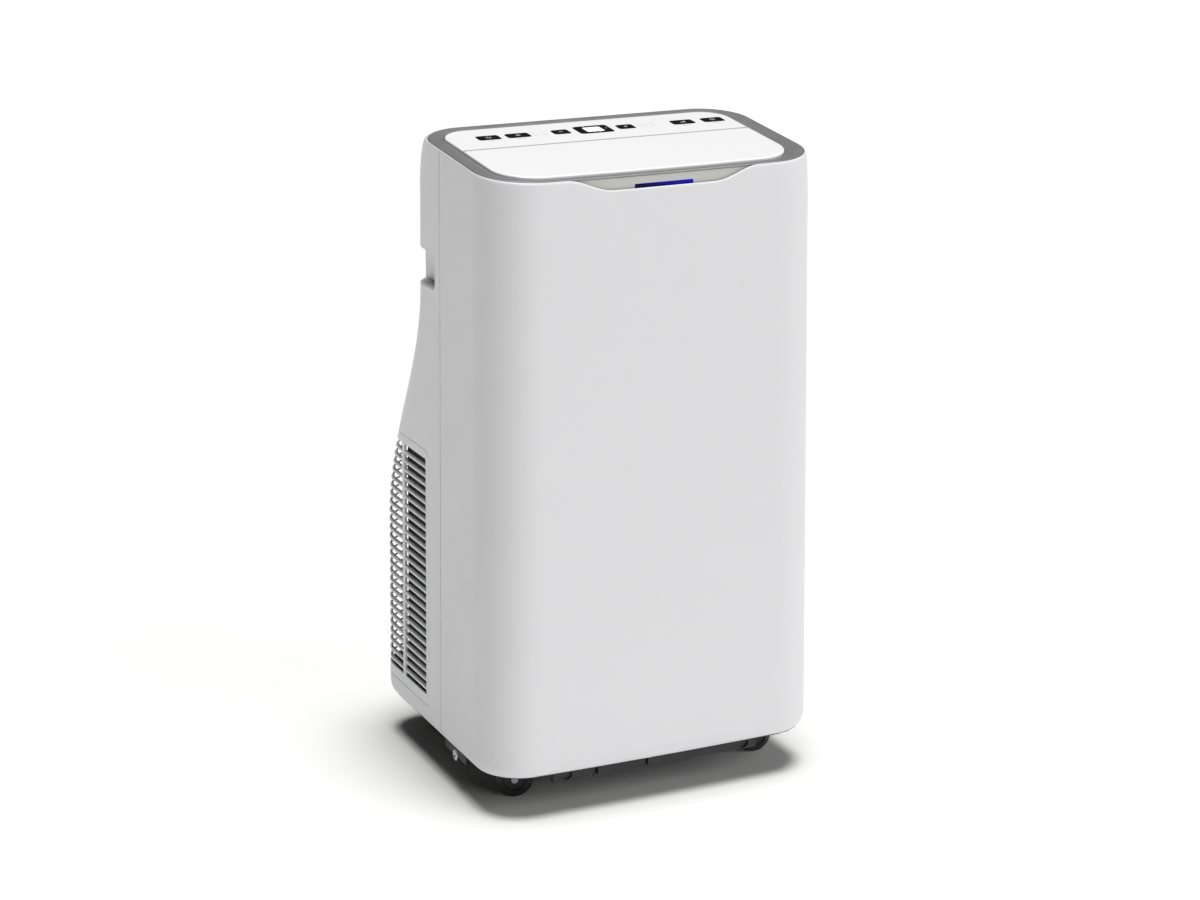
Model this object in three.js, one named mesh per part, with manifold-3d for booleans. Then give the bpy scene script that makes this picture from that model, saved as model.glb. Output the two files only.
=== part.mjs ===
// Portable air conditioner: tapered two-piece shell on casters, tilted top deck with
// keys and a lifting outlet flap, side intake grilles, and the cooling parts inside.
// Millimetres, +Z up, front face towards -Y, origin under the middle of the body.
import * as THREE from "three";
import { mergeVertices } from "three/addons/utils/BufferGeometryUtils.js";
import Module from "manifold-3d";

const wasm = await Module();
wasm.setup();

// ---------------------------------------------------------------- driving dimensions
const bodyDepth = 342; // front face to the back of the lower bulge
const footWidth = 392; // widest, just above the foot rounding
const deckHeight = 699; // top trim above the floor, halfway between front and back
const deckTilt = 5.01; // degrees, the top rises towards the back
const upperBack = 69; // how far back the upper body reaches
const sideDraft = 0.83; // degrees, the sides lean in towards the top
const frontBow = 4; // how far the front stands out at its middle
const frontRadius = 52;
const backRadius = 45;
const flareTop = 540; // the back starts to swell below this height
const flareFoot = 258; // and is at full depth from here down
const wall = 2.5;
const lipWall = 1.2; // the shell thins to this round the top trim
const shellLip = 43; // lower edge of the shells above the floor
const footRoundUp = 17;
const footRoundIn = 9;
const shoulderDepth = 60; // height over which the body turns in to the trim
const seamY = -23.5; // the front and rear shells meet here
const seamGap = 0.6;
const fitGap = 0.4; // clearance between neighbouring fixed pieces

const trimWidth = 369; // top trim, outside
const trimFront = 164.5;
const trimBack = 55;
const trimFrontRadius = 56;
const trimBackRadius = 50;
const trimBand = 18.5; // its width at the sides
const trimFrontBand = 15.5;
const trimBackBand = 13;
const trimEdge = 1.8; // height of its visible outer edge
const trimRound = 1;
const trimUndercut = 10; // below that edge it steps in by this much
const trimDish = 2.2; // the inner edge lies this much lower, so the panel stands out of it
const lidThick = 4;
const lidGap = 1;
const dividerY = -35.4; // gap between the control panel and the outlet flap
const dividerGap = 2.6;
const ledgeWidth = 6; // inner shelf of the trim, under the panel
const ledgeThick = 4;

const keyRowY = 4.6;
const keyDepth = 15.5;
const keyTravel = 1;
const keyGap = 0.4;
const keyProud = 0.4; // keys and display frame above the panel
const keyRows = [
  ["power_button", -120.4, 25],
  ["mode_button", -87, 26],
  ["minus_button", -37.8, 19],
  ["plus_button", 37.8, 19],
  ["speed_button", 105.3, 26],
  ["timer_button", 141.3, 25],
];
const displayWidth = 39;
const displayDepth = 28;
const windowWidth = 21;
const windowDepth = 19;
const boardThick = 1.6;
const boardDrop = 12; // top of the control board below the trim plane

const hingeY = -43; // outlet flap hinge, under the flap's rear edge
const hingeDrop = 5.5;
const pinRadius = 1.5;
const pinGap = 0.3;

const ductWidth = 300;
const ductFront = -146;
const ductBack = -48;
const ductTop = 9.4; // below the trim plane
const ductFoot = 66;
const vaneCount = 5;
const vanePitch = 54;
const vaneThick = 1.8;
const vanePivotDrop = 43;
const vaneUp = 14;
const vaneDown = 17;
const crankDrop = 13; // link bar pins below the vane pivots
const crankRadius = 1.2;
const linkThick = 3;

const scoopHalf = 112; // recess under the trim for the signal receiver
const scoopFlat = 58;
const scoopDepth = 13;
const scoopFace = 162; // face of the grey insert, this far forward
const receiverWidth = 67.2;
const receiverHigh = 5;
const receiverZ = 671.9;

const grilleY = 11; // front edge of the side grilles
const grilleTop = 364;
const grilleFoot = 72;
const grilleBackX = 98; // where each grille ends on the back
const grilleCorner = 6;
const slotCount = 27;
const slotPitch = 10.15;
const slotFoot = 87; // centre of the lowest slot
const slotHigh = 4.4;
const slotStart = 20;
const ribY = 87;
const ribWidth = 7;

const handleFoot = 544;
const handleTop = 584;
const handleDepth = 16;
const handleStart = -9;

const intakeHalf = 142; // upper intake grille on the back
const intakeFoot = 452;
const intakeTop = 652;
const intakeSlots = 12;
const intakePitch = 15;
const intakeSlotHigh = 8;
const filterThick = 3;

const exhaustZ = 296;
const exhaustBore = 66; // radius of the outlet opening
const exhaustSeat = 88; // radius of the sunk flat seat around it
const exhaustRim = 4;
const seatSink = 16; // how deep the seat lies below the bulge
const collarWall = 4;
const headProud = 3; // plug and gland heads stand out this far

const plugRadius = 6;
const plugHead = 9;
const glandRadius = 9;
const cordRadius = 3.5;
const drainSpots = [
  ["upper_drain_plug", -60, 420],
  ["lower_drain_plug", 0, 92],
];
const cordX = 72;
const cordZ = 94;
const casterX = 146;
const casterFrontY = -87;
const casterBackY = 118;
const wheelRadius = 20;
const wheelWide = 9;
const wheelGap = 0.6; // wheel to hood plate
const axleRadius = 2.5;
const casterTrail = 8;
const stemRadius = 4;
const hoodGap = 2.5; // swivel plate of a caster to the base pan
const casterTurns = [
  ["front_left", -casterX, casterFrontY, -18],
  ["front_right", casterX, casterFrontY, 14],
  ["rear_left", -casterX, casterBackY, 24],
  ["rear_right", casterX, casterBackY, -30],
];

const panFoot = 47;
const panThick = 4;
const panRim = 28; // height of the pan's upstand
const stripHalf = 121; // black strip under the front edge
const stripFoot = 34.5;
const stripDeep = 8;
const sideStripFoot = 31;
const sideStripFrom = -66;
const sideStripTo = -6;
const screwX = 105.4;
const screwZ = 41.5;
const screwHead = 6;
const screwSink = 2.4;
const socketHigh = 18;

const trayZ = 397; // drip tray between the cooling and the exhaust side
const blowerZ = 517;
const blowerRadius = 80;
const blowerFront = -124;
const blowerBack = -60;
const fanX = 60;
const fanZ = 172;
const fanRadius = 78;
const fanFront = 34;
const fanBack = 80;
const scrollGap = 14; // wheel to scroll housing
const ductTube = 74; // round duct that leads to the exhaust seat
const motorRadius = 38;
const shaftRadius = 4;
const compressorX = -105;
const compressorY = -30;
const compressorRadius = 54;
const compressorHigh = 235;

const deckTurn = THREE.MathUtils.degToRad(deckTilt);
const frontCornerY = -(bodyDepth / 2 - frontBow);
const lowerBack = bodyDepth / 2 - headProud;

// ---------------------------------------------------------------- solids
function solid(geometry) {
  const bare = geometry.clone();
  for (const name of Object.keys(bare.attributes)) {
    if (name !== "position") bare.deleteAttribute(name);
  }
  const merged = mergeVertices(bare, 1e-4);
  const vertProperties = new Float32Array(merged.attributes.position.array);
  const triVerts = new Uint32Array(merged.index.array);
  return new wasm.Manifold(new wasm.Mesh({ numProp: 3, vertProperties, triVerts }));
}

function box(x0, x1, y0, y1, z0, z1) {
  const geometry = new THREE.BoxGeometry(x1 - x0, y1 - y0, z1 - z0);
  return solid(geometry.translate((x0 + x1) / 2, (y0 + y1) / 2, (z0 + z1) / 2));
}

// A cylinder or cone from a to b; sides is its number of facets.
function rod(a, b, radius, sides = 20, endRadius = radius) {
  const from = new THREE.Vector3(...a);
  const to = new THREE.Vector3(...b);
  const along = to.clone().sub(from);
  const geometry = new THREE.CylinderGeometry(endRadius, radius, along.length(), sides);
  const turn = new THREE.Quaternion().setFromUnitVectors(
    new THREE.Vector3(0, 1, 0),
    along.clone().normalize(),
  );
  geometry.applyQuaternion(turn);
  return solid(geometry.translate(...from.add(to).multiplyScalar(0.5).toArray()));
}

// Closed solid through rings of equal point count, listed from the foot up.
function loft(rings) {
  const count = rings[0].length;
  const positions = rings.flat().flatMap((p) => [p.x, p.y, p.z]);
  const faces = [];
  for (let r = 0; r + 1 < rings.length; r++) {
    for (let i = 0; i < count; i++) {
      const a = r * count + i;
      const b = r * count + ((i + 1) % count);
      faces.push(a, b, b + count, a, b + count, a + count);
    }
  }
  const flat = rings[0].map((p) => new THREE.Vector2(p.x, p.y));
  const last = (rings.length - 1) * count;
  for (const [i, j, k] of THREE.ShapeUtils.triangulateShape(flat, [])) {
    faces.push(k, j, i);
  }
  const top = rings[rings.length - 1].map((p) => new THREE.Vector2(p.x, p.y));
  for (const [i, j, k] of THREE.ShapeUtils.triangulateShape(top, [])) {
    faces.push(last + i, last + j, last + k);
  }
  const geometry = new THREE.BufferGeometry();
  geometry.setAttribute("position", new THREE.Float32BufferAttribute(positions, 3));
  geometry.setIndex(faces);
  return solid(geometry);
}

// An outline pushed up along Z.
function prism(outline, z0, z1, hole = null) {
  const shape = new THREE.Shape(outline);
  if (hole) shape.holes.push(new THREE.Path(hole));
  const geometry = new THREE.ExtrudeGeometry(shape, { depth: z1 - z0, bevelEnabled: false });
  return solid(geometry.translate(0, 0, z0));
}

// An outline in X and Z pushed along Y, from y0 back to y1.
function slab(outline, y0, y1, hole = null) {
  const shape = new THREE.Shape(outline);
  if (hole) shape.holes.push(new THREE.Path(hole));
  const geometry = new THREE.ExtrudeGeometry(shape, { depth: y1 - y0, bevelEnabled: false });
  return solid(geometry.rotateX(Math.PI / 2).translate(0, y1, 0));
}

function ellipseArc(cx, cy, rx, ry, from, to, steps) {
  const points = [];
  for (let i = 0; i <= steps; i++) {
    const t = from + ((to - from) * i) / steps;
    points.push(new THREE.Vector2(cx + rx * Math.cos(t), cy + ry * Math.sin(t)));
  }
  return points;
}

// Rounded rectangle, anticlockwise from the front right corner, with a bowed front.
function roundedOutline(half, front, back, rf, rb, bow = 0, cornerSteps = 5) {
  const quarter = Math.PI / 2;
  const steps = cornerSteps;
  const points = [
    ...ellipseArc(half - rf, front + rf, rf, rf, -quarter, 0, steps),
    ...ellipseArc(half - rb, back - rb, rb, rb, 0, quarter, steps),
    ...ellipseArc(-half + rb, back - rb, rb, rb, quarter, 2 * quarter, steps),
    ...ellipseArc(-half + rf, front + rf, rf, rf, 2 * quarter, 3 * quarter, steps),
  ];
  const reach = half - rf;
  const bowSteps = bow ? 4 : 0;
  for (let i = 1; i < bowSteps; i++) {
    points.push(new THREE.Vector2(-reach + (2 * reach * i) / bowSteps, front));
  }
  const middle = (front + back) / 2;
  for (const p of points) {
    if (p.y < middle) p.y -= bow * Math.max(0, 1 - (p.x / half) ** 2);
  }
  return points;
}

function circle(cx, cy, radius, steps = 40) {
  return ellipseArc(cx, cy, radius, radius, 0, 2 * Math.PI, steps).slice(0, steps);
}

// ---------------------------------------------------------------- body form
const smooth = (t) => {
  const c = Math.min(1, Math.max(0, t));
  return c * c * (3 - 2 * c);
};
const halfWidthAt = (z) =>
  footWidth / 2 - (z - shellLip) * Math.tan(THREE.MathUtils.degToRad(sideDraft));
const backAt = (z) =>
  upperBack + (lowerBack - upperBack) * smooth((flareTop - z) / (flareTop - flareFoot));
const deckZ = (y, drop = 0) => deckHeight + y * Math.tan(deckTurn) - drop;

function footInset(z) {
  const t = Math.min(1, Math.max(0, (shellLip + footRoundUp - z) / footRoundUp));
  return footRoundIn * (1 - Math.sqrt(1 - t * t));
}

function bodyOutline(z, inset) {
  const i = inset + footInset(z);
  return roundedOutline(
    halfWidthAt(z) - i,
    frontCornerY + i,
    backAt(z) - i,
    frontRadius - i,
    backRadius - i,
    frontBow,
  );
}

function trimOutline(inset, frontInset = inset, backInset = inset) {
  return roundedOutline(
    trimWidth / 2 - inset,
    -trimFront + frontInset,
    trimBack - backInset,
    trimFrontRadius - inset * 0.7,
    trimBackRadius - inset,
    frontBow,
  );
}

// The body's surface, moved in by inset, from the foot to the tilted top.
function bodyForm(inset, topInset, drop) {
  const rings = [];
  const feet = [0, 0.12, 0.35, 1].map((t) => shellLip + footRoundUp * t);
  const flare = [0, 0.17, 0.33, 0.5, 0.67, 0.83, 1].map(
    (t) => flareFoot + (flareTop - flareFoot) * t,
  );
  if (inset > 0) {
    const open = bodyOutline(shellLip, inset); // runs out below the lip: the shell is open
    rings.push(open.map((p) => new THREE.Vector3(p.x, p.y, shellLip - 12)));
  }
  for (const z of [...feet, ...flare]) {
    rings.push(bodyOutline(z, inset).map((p) => new THREE.Vector3(p.x, p.y, z)));
  }
  const top = trimOutline(topInset);
  for (const t of [0, 0.45, 0.75, 0.93, 1]) {
    const turnIn = 1 - Math.sqrt(1 - t * t);
    const below = shoulderDepth * (1 - t) + drop;
    const side = bodyOutline(deckHeight - shoulderDepth, inset);
    rings.push(
      side.map((p, i) => {
        const x = p.x + (top[i].x - p.x) * turnIn;
        const y = p.y + (top[i].y - p.y) * turnIn;
        return new THREE.Vector3(x, y, deckZ(y, below));
      }),
    );
  }
  return loft(rings);
}

// ---------------------------------------------------------------- nodes
const airConditioner = new THREE.Group();
const deck = new THREE.Group(); // frame of the tilted top
deck.position.z = deckHeight;
deck.rotation.x = deckTurn;
airConditioner.add(deck);
deck.updateMatrix();

const finishes = {
  whiteAbs: [0xf1f1f0, 0.38, 0],
  whiteGloss: [0xfafafa, 0.25, 0],
  silver: [0x9a9a9a, 0.35, 0.25],
  greige: [0xc9c9c3, 0.5, 0],
  blackGloss: [0x101012, 0.25, 0],
  blackPlastic: [0x161616, 0.6, 0],
  displayWhite: [0xf4f6f8, 0.2, 0],
  receiverBlue: [0x0a10b0, 0.15, 0],
  greyPlastic: [0x8c8f92, 0.6, 0],
  rubber: [0x1c1c1c, 0.85, 0],
  steel: [0xb4b6b8, 0.35, 1],
  paintedBlack: [0x202224, 0.5, 0.4],
  aluminium: [0xc2c5c8, 0.4, 1],
  boardGreen: [0x1f6b3a, 0.5, 0],
  filterGrey: [0x4a4d50, 0.8, 0],
};

function add(name, shape, finish, parent = airConditioner) {
  const mesh = shape.getMesh();
  const geometry = new THREE.BufferGeometry();
  geometry.setAttribute("position", new THREE.BufferAttribute(mesh.vertProperties, 3));
  geometry.setIndex(new THREE.BufferAttribute(mesh.triVerts, 1));
  geometry.computeVertexNormals();
  const [color, roughness, metalness] = finishes[finish];
  const material = new THREE.MeshStandardMaterial({ color, roughness, metalness });
  const node = new THREE.Mesh(geometry, material);
  node.name = name;
  parent.add(node);
  return node;
}

// The same solid, written in the body's frame instead of the tilted deck's.
function fromDeck(shape) {
  const mesh = shape.getMesh();
  const geometry = new THREE.BufferGeometry();
  geometry.setAttribute("position", new THREE.BufferAttribute(mesh.vertProperties, 3));
  geometry.setIndex(new THREE.BufferAttribute(mesh.triVerts, 1));
  return solid(geometry.applyMatrix4(deck.matrix));
}

// ---------------------------------------------------------------- top deck
const shelfTop = -lidThick - fitGap;
const shelfFoot = shelfTop - ledgeThick;
const bandInsets = (extra) => [trimBand + extra, trimFrontBand + extra, trimBackBand + extra];

// Stack of trim outlines: a ring whose upper face dips towards the opening.
function buildTrim() {
  const loop = (z, ...insets) => trimOutline(...insets).map((p) => new THREE.Vector3(p.x, p.y, z));
  const ringWalls = [
    loop(shelfFoot, trimUndercut),
    loop(-trimEdge, trimUndercut),
    loop(-trimEdge, 0),
    loop(-trimRound, 0),
    loop(0, trimRound),
    loop(-trimDish, ...bandInsets(-trimRound)),
    loop(-trimDish - trimRound, ...bandInsets(0)),
    loop(shelfTop, ...bandInsets(0)),
    loop(shelfTop, ...bandInsets(ledgeWidth)),
    loop(shelfFoot, ...bandInsets(ledgeWidth)),
  ];
  const count = ringWalls[0].length;
  const positions = ringWalls.flat().flatMap((p) => [p.x, p.y, p.z]);
  const faces = [];
  for (let r = 0; r < ringWalls.length; r++) {
    const next = (r + 1) % ringWalls.length;
    for (let i = 0; i < count; i++) {
      const j = (i + 1) % count;
      const a = r * count + i;
      const b = r * count + j;
      const c = next * count + j;
      const d = next * count + i;
      faces.push(a, b, c, a, c, d);
    }
  }
  const geometry = new THREE.BufferGeometry();
  geometry.setAttribute("position", new THREE.Float32BufferAttribute(positions, 3));
  geometry.setIndex(faces);
  const half = trimWidth / 2 - trimBand;
  const socket = pinRadius + pinGap;
  const reach = half + 7;
  const ledgeCut = box(
    -half - ledgeWidth,
    half + ledgeWidth,
    hingeY - 4,
    dividerY + dividerGap / 2 + fitGap,
    shelfFoot - 1,
    shelfTop + 1,
  );
  return solid(geometry)
    .subtract(rod([-reach, hingeY, -hingeDrop], [reach, hingeY, -hingeDrop], socket, 16))
    .subtract(ledgeCut);
}
const trim = buildTrim();
add("top_trim_ring", trim, "silver", deck);

const lidBlank = prism(trimOutline(...bandInsets(lidGap)), -lidThick, 0);
const half = trimWidth / 2;

function keyBlock(x, width, gap, foot, top) {
  const outline = roundedOutline(width / 2 + gap, -keyDepth / 2 - gap, keyDepth / 2 + gap, 3, 3, 0, 2);
  return prism(
    outline.map((p) => new THREE.Vector2(p.x + x, p.y + keyRowY)),
    foot,
    top,
  );
}

function displayBlock(width, depth, gap, foot, top) {
  const outline = roundedOutline(width / 2 + gap, -depth / 2 - gap, depth / 2 + gap, 4, 4, 0, 3);
  return prism(
    outline.map((p) => new THREE.Vector2(p.x, p.y + keyRowY)),
    foot,
    top,
  );
}

function buildControlPanel() {
  const front = dividerY + dividerGap / 2;
  let panel = lidBlank.intersect(box(-half, half, front, half, -lidThick - 1, 1));
  for (const [, x, width] of keyRows) {
    panel = panel.subtract(keyBlock(x, width, keyGap, -lidThick - 1, 1));
  }
  return panel.subtract(displayBlock(displayWidth, displayDepth, keyGap, -lidThick - 1, 1));
}
add("control_panel", buildControlPanel(), "whiteGloss", deck);

for (const [name, x, width] of keyRows) {
  const cap = keyBlock(x, width, 0, -lidThick, keyProud);
  const stem = rod([x, keyRowY, -boardDrop + keyTravel + 0.4], [x, keyRowY, 0.5 - lidThick], 3, 12);
  add(name, cap.add(stem), "blackGloss", deck);
}

const bezel = displayBlock(displayWidth, displayDepth, 0, -lidThick, keyProud).subtract(
  displayBlock(windowWidth, windowDepth, 0, -lidThick - 1, 1),
);
add("display_bezel", bezel, "blackGloss", deck);
const displayWindow = displayBlock(windowWidth, windowDepth, -0.3, -boardDrop + fitGap, 0);
add("display_window", displayWindow, "displayWhite", deck);
const boardHalf = 156;
const board = box(-boardHalf, boardHalf, -18, 26, -boardDrop - boardThick, -boardDrop);
add("control_board", board, "boardGreen", deck);

function buildFlap() {
  const rear = dividerY - dividerGap / 2;
  const plate = lidBlank.intersect(box(-half, half, -bodyDepth, rear, -lidThick - 1, 1));
  const reach = half - trimBand - lidGap;
  const barrel = rod([-reach, hingeY, -hingeDrop], [reach, hingeY, -hingeDrop], pinRadius + 0.5, 16);
  const pinReach = half - trimBand + 6;
  const pins = rod([-pinReach, hingeY, -hingeDrop], [pinReach, hingeY, -hingeDrop], pinRadius, 16);
  let flap = plate.add(barrel).add(pins);
  for (const x of [-90, 0, 90]) {
    flap = flap.add(box(x - 1, x + 1, ductFront + 6, hingeY - 3, -lidThick - 2.5, 0.5 - lidThick));
  }
  return flap;
}
add("louver_flap", buildFlap(), "whiteGloss", deck);

// ---------------------------------------------------------------- outlet duct and vanes
const ductHalf = ductWidth / 2;
const vaneXs = Array.from({ length: vaneCount }, (_, i) => (i - (vaneCount - 1) / 2) * vanePitch);
const vaneFront = ductFront + wall + 2;
const vaneBack = ductBack - wall - 9;
const crankZ = -vanePivotDrop - crankDrop;

function buildDuct() {
  let duct = box(-ductHalf, ductHalf, ductFront, ductBack, -ductFoot, -ductTop).subtract(
    box(
      -ductHalf + wall,
      ductHalf - wall,
      ductFront + wall,
      ductBack - wall,
      -ductFoot - 1,
      -ductTop + 1,
    ),
  );
  for (const x of vaneXs) {
    const drill = [
      [x, ductFront - 1, -vanePivotDrop],
      [x, ductBack + 1, -vanePivotDrop],
    ];
    duct = duct.subtract(rod(...drill, pinRadius + pinGap, 12));
  }
  return duct;
}
add("outlet_duct", buildDuct(), "greyPlastic", deck);

vaneXs.forEach((x, i) => {
  const halfThick = vaneThick / 2;
  const top = -vanePivotDrop + vaneUp;
  const blade = box(x - halfThick, x + halfThick, vaneFront, vaneBack, -vanePivotDrop - vaneDown, top);
  const pivot = rod(
    [x, ductFront + 0.4, -vanePivotDrop],
    [x, ductBack - 0.4, -vanePivotDrop],
    pinRadius,
    12,
  );
  const crank = rod([x, vaneBack - 0.5, crankZ], [x, vaneBack + 5.6, crankZ], crankRadius, 12);
  add("swing_vane_" + (i + 1), blade.add(pivot).add(crank), "greyPlastic", deck);
});

function buildLinkBar() {
  const reach = vaneXs[vaneCount - 1] + 9;
  const y0 = vaneBack + 1;
  let bar = box(-reach, reach, y0, y0 + linkThick, crankZ - 4.5, crankZ + 5.5);
  const slotHalf = crankRadius + 0.5;
  for (const x of vaneXs) {
    const slot = box(x - slotHalf, x + slotHalf, y0 - 1, y0 + linkThick + 1, crankZ - 2, crankZ + 3.4);
    bar = bar.subtract(slot);
  }
  return bar;
}
add("vane_link_bar", buildLinkBar(), "blackPlastic", deck);

const flapMotorX = ductHalf + 5;
const flapMotor = rod(
  [flapMotorX - 4, hingeY - 3, -26],
  [flapMotorX + 12, hingeY - 3, -26],
  11,
  20,
);
add("flap_motor", flapMotor, "steel", deck);

// ---------------------------------------------------------------- shells
const outer = bodyForm(0, -fitGap - lipWall, 0.8);
const inner = bodyForm(wall, -fitGap, 0.2);
const trimRoom = fromDeck(
  prism(trimOutline(-fitGap), -trimEdge - fitGap, 12).add(
    prism(trimOutline(trimUndercut - fitGap), shelfFoot - fitGap, 0),
  ),
);

// The cut in the front edge that shows the receiver insert.
function scoopCut() {
  const steps = 14;
  const edge = [];
  for (let i = 0; i <= steps; i++) {
    const x = -scoopHalf + (2 * scoopHalf * i) / steps;
    const drop = scoopDepth * smooth((scoopHalf - Math.abs(x)) / (scoopHalf - scoopFlat));
    edge.push(new THREE.Vector2(x, deckZ(-trimFront, drop + 1)));
  }
  edge.push(new THREE.Vector2(scoopHalf, deckHeight + 20));
  edge.push(new THREE.Vector2(-scoopHalf, deckHeight + 20));
  return slab(edge, -bodyDepth, -trimFront + 30);
}

// Hand hold let into a side of the rear shell, running out round the back corner.
function handlePocket(side, grow) {
  const reach = halfWidthAt(handleTop);
  const inside = reach - handleDepth - grow;
  const points = [
    new THREE.Vector2(inside, handleStart + 12 - grow),
    new THREE.Vector2(reach + 5, handleStart - grow),
    new THREE.Vector2(reach + 5, upperBack + 20),
    new THREE.Vector2(inside, upperBack + 20),
  ];
  const outline = points.map((p) => new THREE.Vector2(p.x * side, p.y));
  if (side < 0) outline.reverse();
  return prism(outline, handleFoot - grow, handleTop + grow);
}

// The block of space that a side grille fills, wrapping from the side to the back.
function grilleWindow(side, grow) {
  const low = grilleFoot - grow;
  const high = grilleTop + grow;
  const corner = grilleCorner + grow;
  const from = grilleY - grow;
  const quarter = Math.PI / 2;
  const outline = [
    new THREE.Vector2(bodyDepth, low),
    new THREE.Vector2(bodyDepth, high),
    ...ellipseArc(from + corner, high - corner, corner, corner, quarter, 2 * quarter, 3),
    ...ellipseArc(from + corner, low + corner, corner, corner, 2 * quarter, 3 * quarter, 3),
  ];
  const inside = grilleBackX - grow;
  const depth = footWidth / 2 + 10 - inside;
  const geometry = new THREE.ExtrudeGeometry(new THREE.Shape(outline), {
    depth,
    bevelEnabled: false,
  });
  geometry.rotateY(Math.PI / 2).rotateX(Math.PI / 2);
  geometry.translate(side > 0 ? inside : -inside - depth, 0, 0);
  return solid(geometry);
}

const seatY = lowerBack - seatSink;
const exhaustDisc = (radius, y0, y1) => slab(circle(0, exhaustZ, radius, 36), y0, y1);
const intakeBlock = (grow) =>
  box(-intakeHalf - grow, intakeHalf + grow, 0, bodyDepth, intakeFoot - grow, intakeTop + grow);

function buildShells() {
  const rimOuter = exhaustSeat + exhaustRim;
  let skin = outer.add(exhaustDisc(rimOuter, 0, lowerBack - 0.2));
  let hollow = inner.subtract(exhaustDisc(exhaustSeat + wall, seatY - wall, bodyDepth));
  hollow = hollow.add(exhaustDisc(rimOuter - wall, 0, seatY - wall));
  skin = skin.subtract(exhaustDisc(exhaustSeat, seatY, bodyDepth));
  for (const side of [-1, 1]) {
    skin = skin.subtract(handlePocket(side, 0));
    hollow = hollow.subtract(handlePocket(side, wall));
  }
  let shell = skin.subtract(hollow).subtract(trimRoom).subtract(scoopCut());
  shell = shell.subtract(exhaustDisc(exhaustBore, 0, bodyDepth)).subtract(intakeBlock(0));
  const [x, y, high] = [footWidth, bodyDepth, 2 * deckHeight];
  const front = shell.intersect(box(-x, x, -y, seamY - seamGap / 2, 0, high));
  let rear = shell.intersect(box(-x, x, seamY + seamGap / 2, y, 0, high));
  for (const side of [-1, 1]) rear = rear.subtract(grilleWindow(side, fitGap));
  for (const [, plugX, plugZ] of drainSpots) {
    rear = rear.subtract(rod([plugX, 0, plugZ], [plugX, y, plugZ], plugRadius + fitGap, 16));
  }
  rear = rear.subtract(rod([cordX, 0, cordZ], [cordX, y, cordZ], glandRadius + fitGap, 20));
  return { front, rear };
}
const shells = buildShells();
add("front_shell", shells.front, "whiteAbs");
add("rear_shell", shells.rear, "whiteAbs");

// Grey insert behind the cut front edge, with the receiver window in it.
function buildReceiverTrim() {
  const back = -scoopFace + 9;
  const foot = 652;
  const face = box(-scoopHalf, scoopHalf, -scoopFace, back, foot, deckZ(-scoopFace));
  const floor = box(-scoopHalf + 2, scoopHalf - 2, -bodyDepth, back, foot, receiverZ - 5);
  const inside = bodyForm(wall + fitGap, -fitGap, 0.4);
  const slotHalf = receiverWidth / 2 + fitGap;
  const slotHigh = receiverHigh / 2 + fitGap;
  return face
    .add(floor.intersect(inside))
    .subtract(trimRoom)
    .subtract(box(-slotHalf, slotHalf, -bodyDepth, 0, receiverZ - slotHigh, receiverZ + slotHigh));
}
add("receiver_trim", buildReceiverTrim(), "greige");
const receiverHalf = receiverWidth / 2;
const receiver = box(
  -receiverHalf,
  receiverHalf,
  -scoopFace - 0.3,
  -scoopFace + 8,
  receiverZ - receiverHigh / 2,
  receiverZ + receiverHigh / 2,
);
add("receiver_window", receiver, "receiverBlue");

// ---------------------------------------------------------------- grilles
const wallSkin = outer.subtract(inner);

function buildSideGrille(side) {
  let grille = wallSkin.intersect(grilleWindow(side, 0));
  const far = footWidth / 2 + 5;
  const sideDepth = 40; // the side slots stop short of the back panel
  for (let i = 0; i < slotCount; i++) {
    const z = slotFoot + i * slotPitch;
    const [z0, z1] = [z - slotHigh / 2, z + slotHigh / 2];
    const spans = [
      [far - sideDepth, far, slotStart, ribY - ribWidth / 2],
      [grilleBackX + 7, far, ribY + ribWidth / 2, bodyDepth],
    ];
    for (const [xa, xb, y0, y1] of spans) {
      const [x0, x1] = side > 0 ? [xa, xb] : [-xb, -xa];
      grille = grille.subtract(box(x0, x1, y0, y1, z0, z1));
    }
  }
  return grille;
}
add("side_grille_left", buildSideGrille(-1), "whiteAbs");
add("side_grille_right", buildSideGrille(1), "whiteAbs");

function buildIntakeGrille() {
  let grille = wallSkin.intersect(intakeBlock(-fitGap));
  const border = 9;
  const column = (2 * (intakeHalf - border)) / 3;
  for (let i = 0; i < intakeSlots; i++) {
    const z = intakeFoot + 16 + i * intakePitch;
    for (let c = 0; c < 3; c++) {
      const x0 = -intakeHalf + border + c * column + 3;
      grille = grille.subtract(box(x0, x0 + column - 6, 0, bodyDepth, z, z + intakeSlotHigh));
    }
  }
  return grille;
}
add("intake_grille", buildIntakeGrille(), "whiteAbs");

function buildFilter() {
  const back = upperBack - wall - 0.6;
  const reach = intakeHalf - 6;
  const [foot, top] = [intakeFoot + 12, intakeTop - 8];
  let filter = box(-reach, reach, back - filterThick, back, foot, top);
  const [columns, rows] = [4, 3];
  const [wide, high] = [(2 * reach) / columns, (top - foot) / rows];
  for (let c = 0; c < columns; c++) {
    for (let r = 0; r < rows; r++) {
      const x = -reach + c * wide + 3;
      const z = foot + r * high + 3;
      filter = filter.subtract(box(x, x + wide - 6, back - 1.5, back + 1, z, z + high - 6));
    }
  }
  return filter;
}
add("air_filter", buildFilter(), "filterGrey");

// ---------------------------------------------------------------- back fittings
function turned(points, sides) {
  const profile = [...points, points[0]].map(([r, z]) => new THREE.Vector2(r, z));
  return new THREE.LatheGeometry(profile, sides);
}

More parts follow.
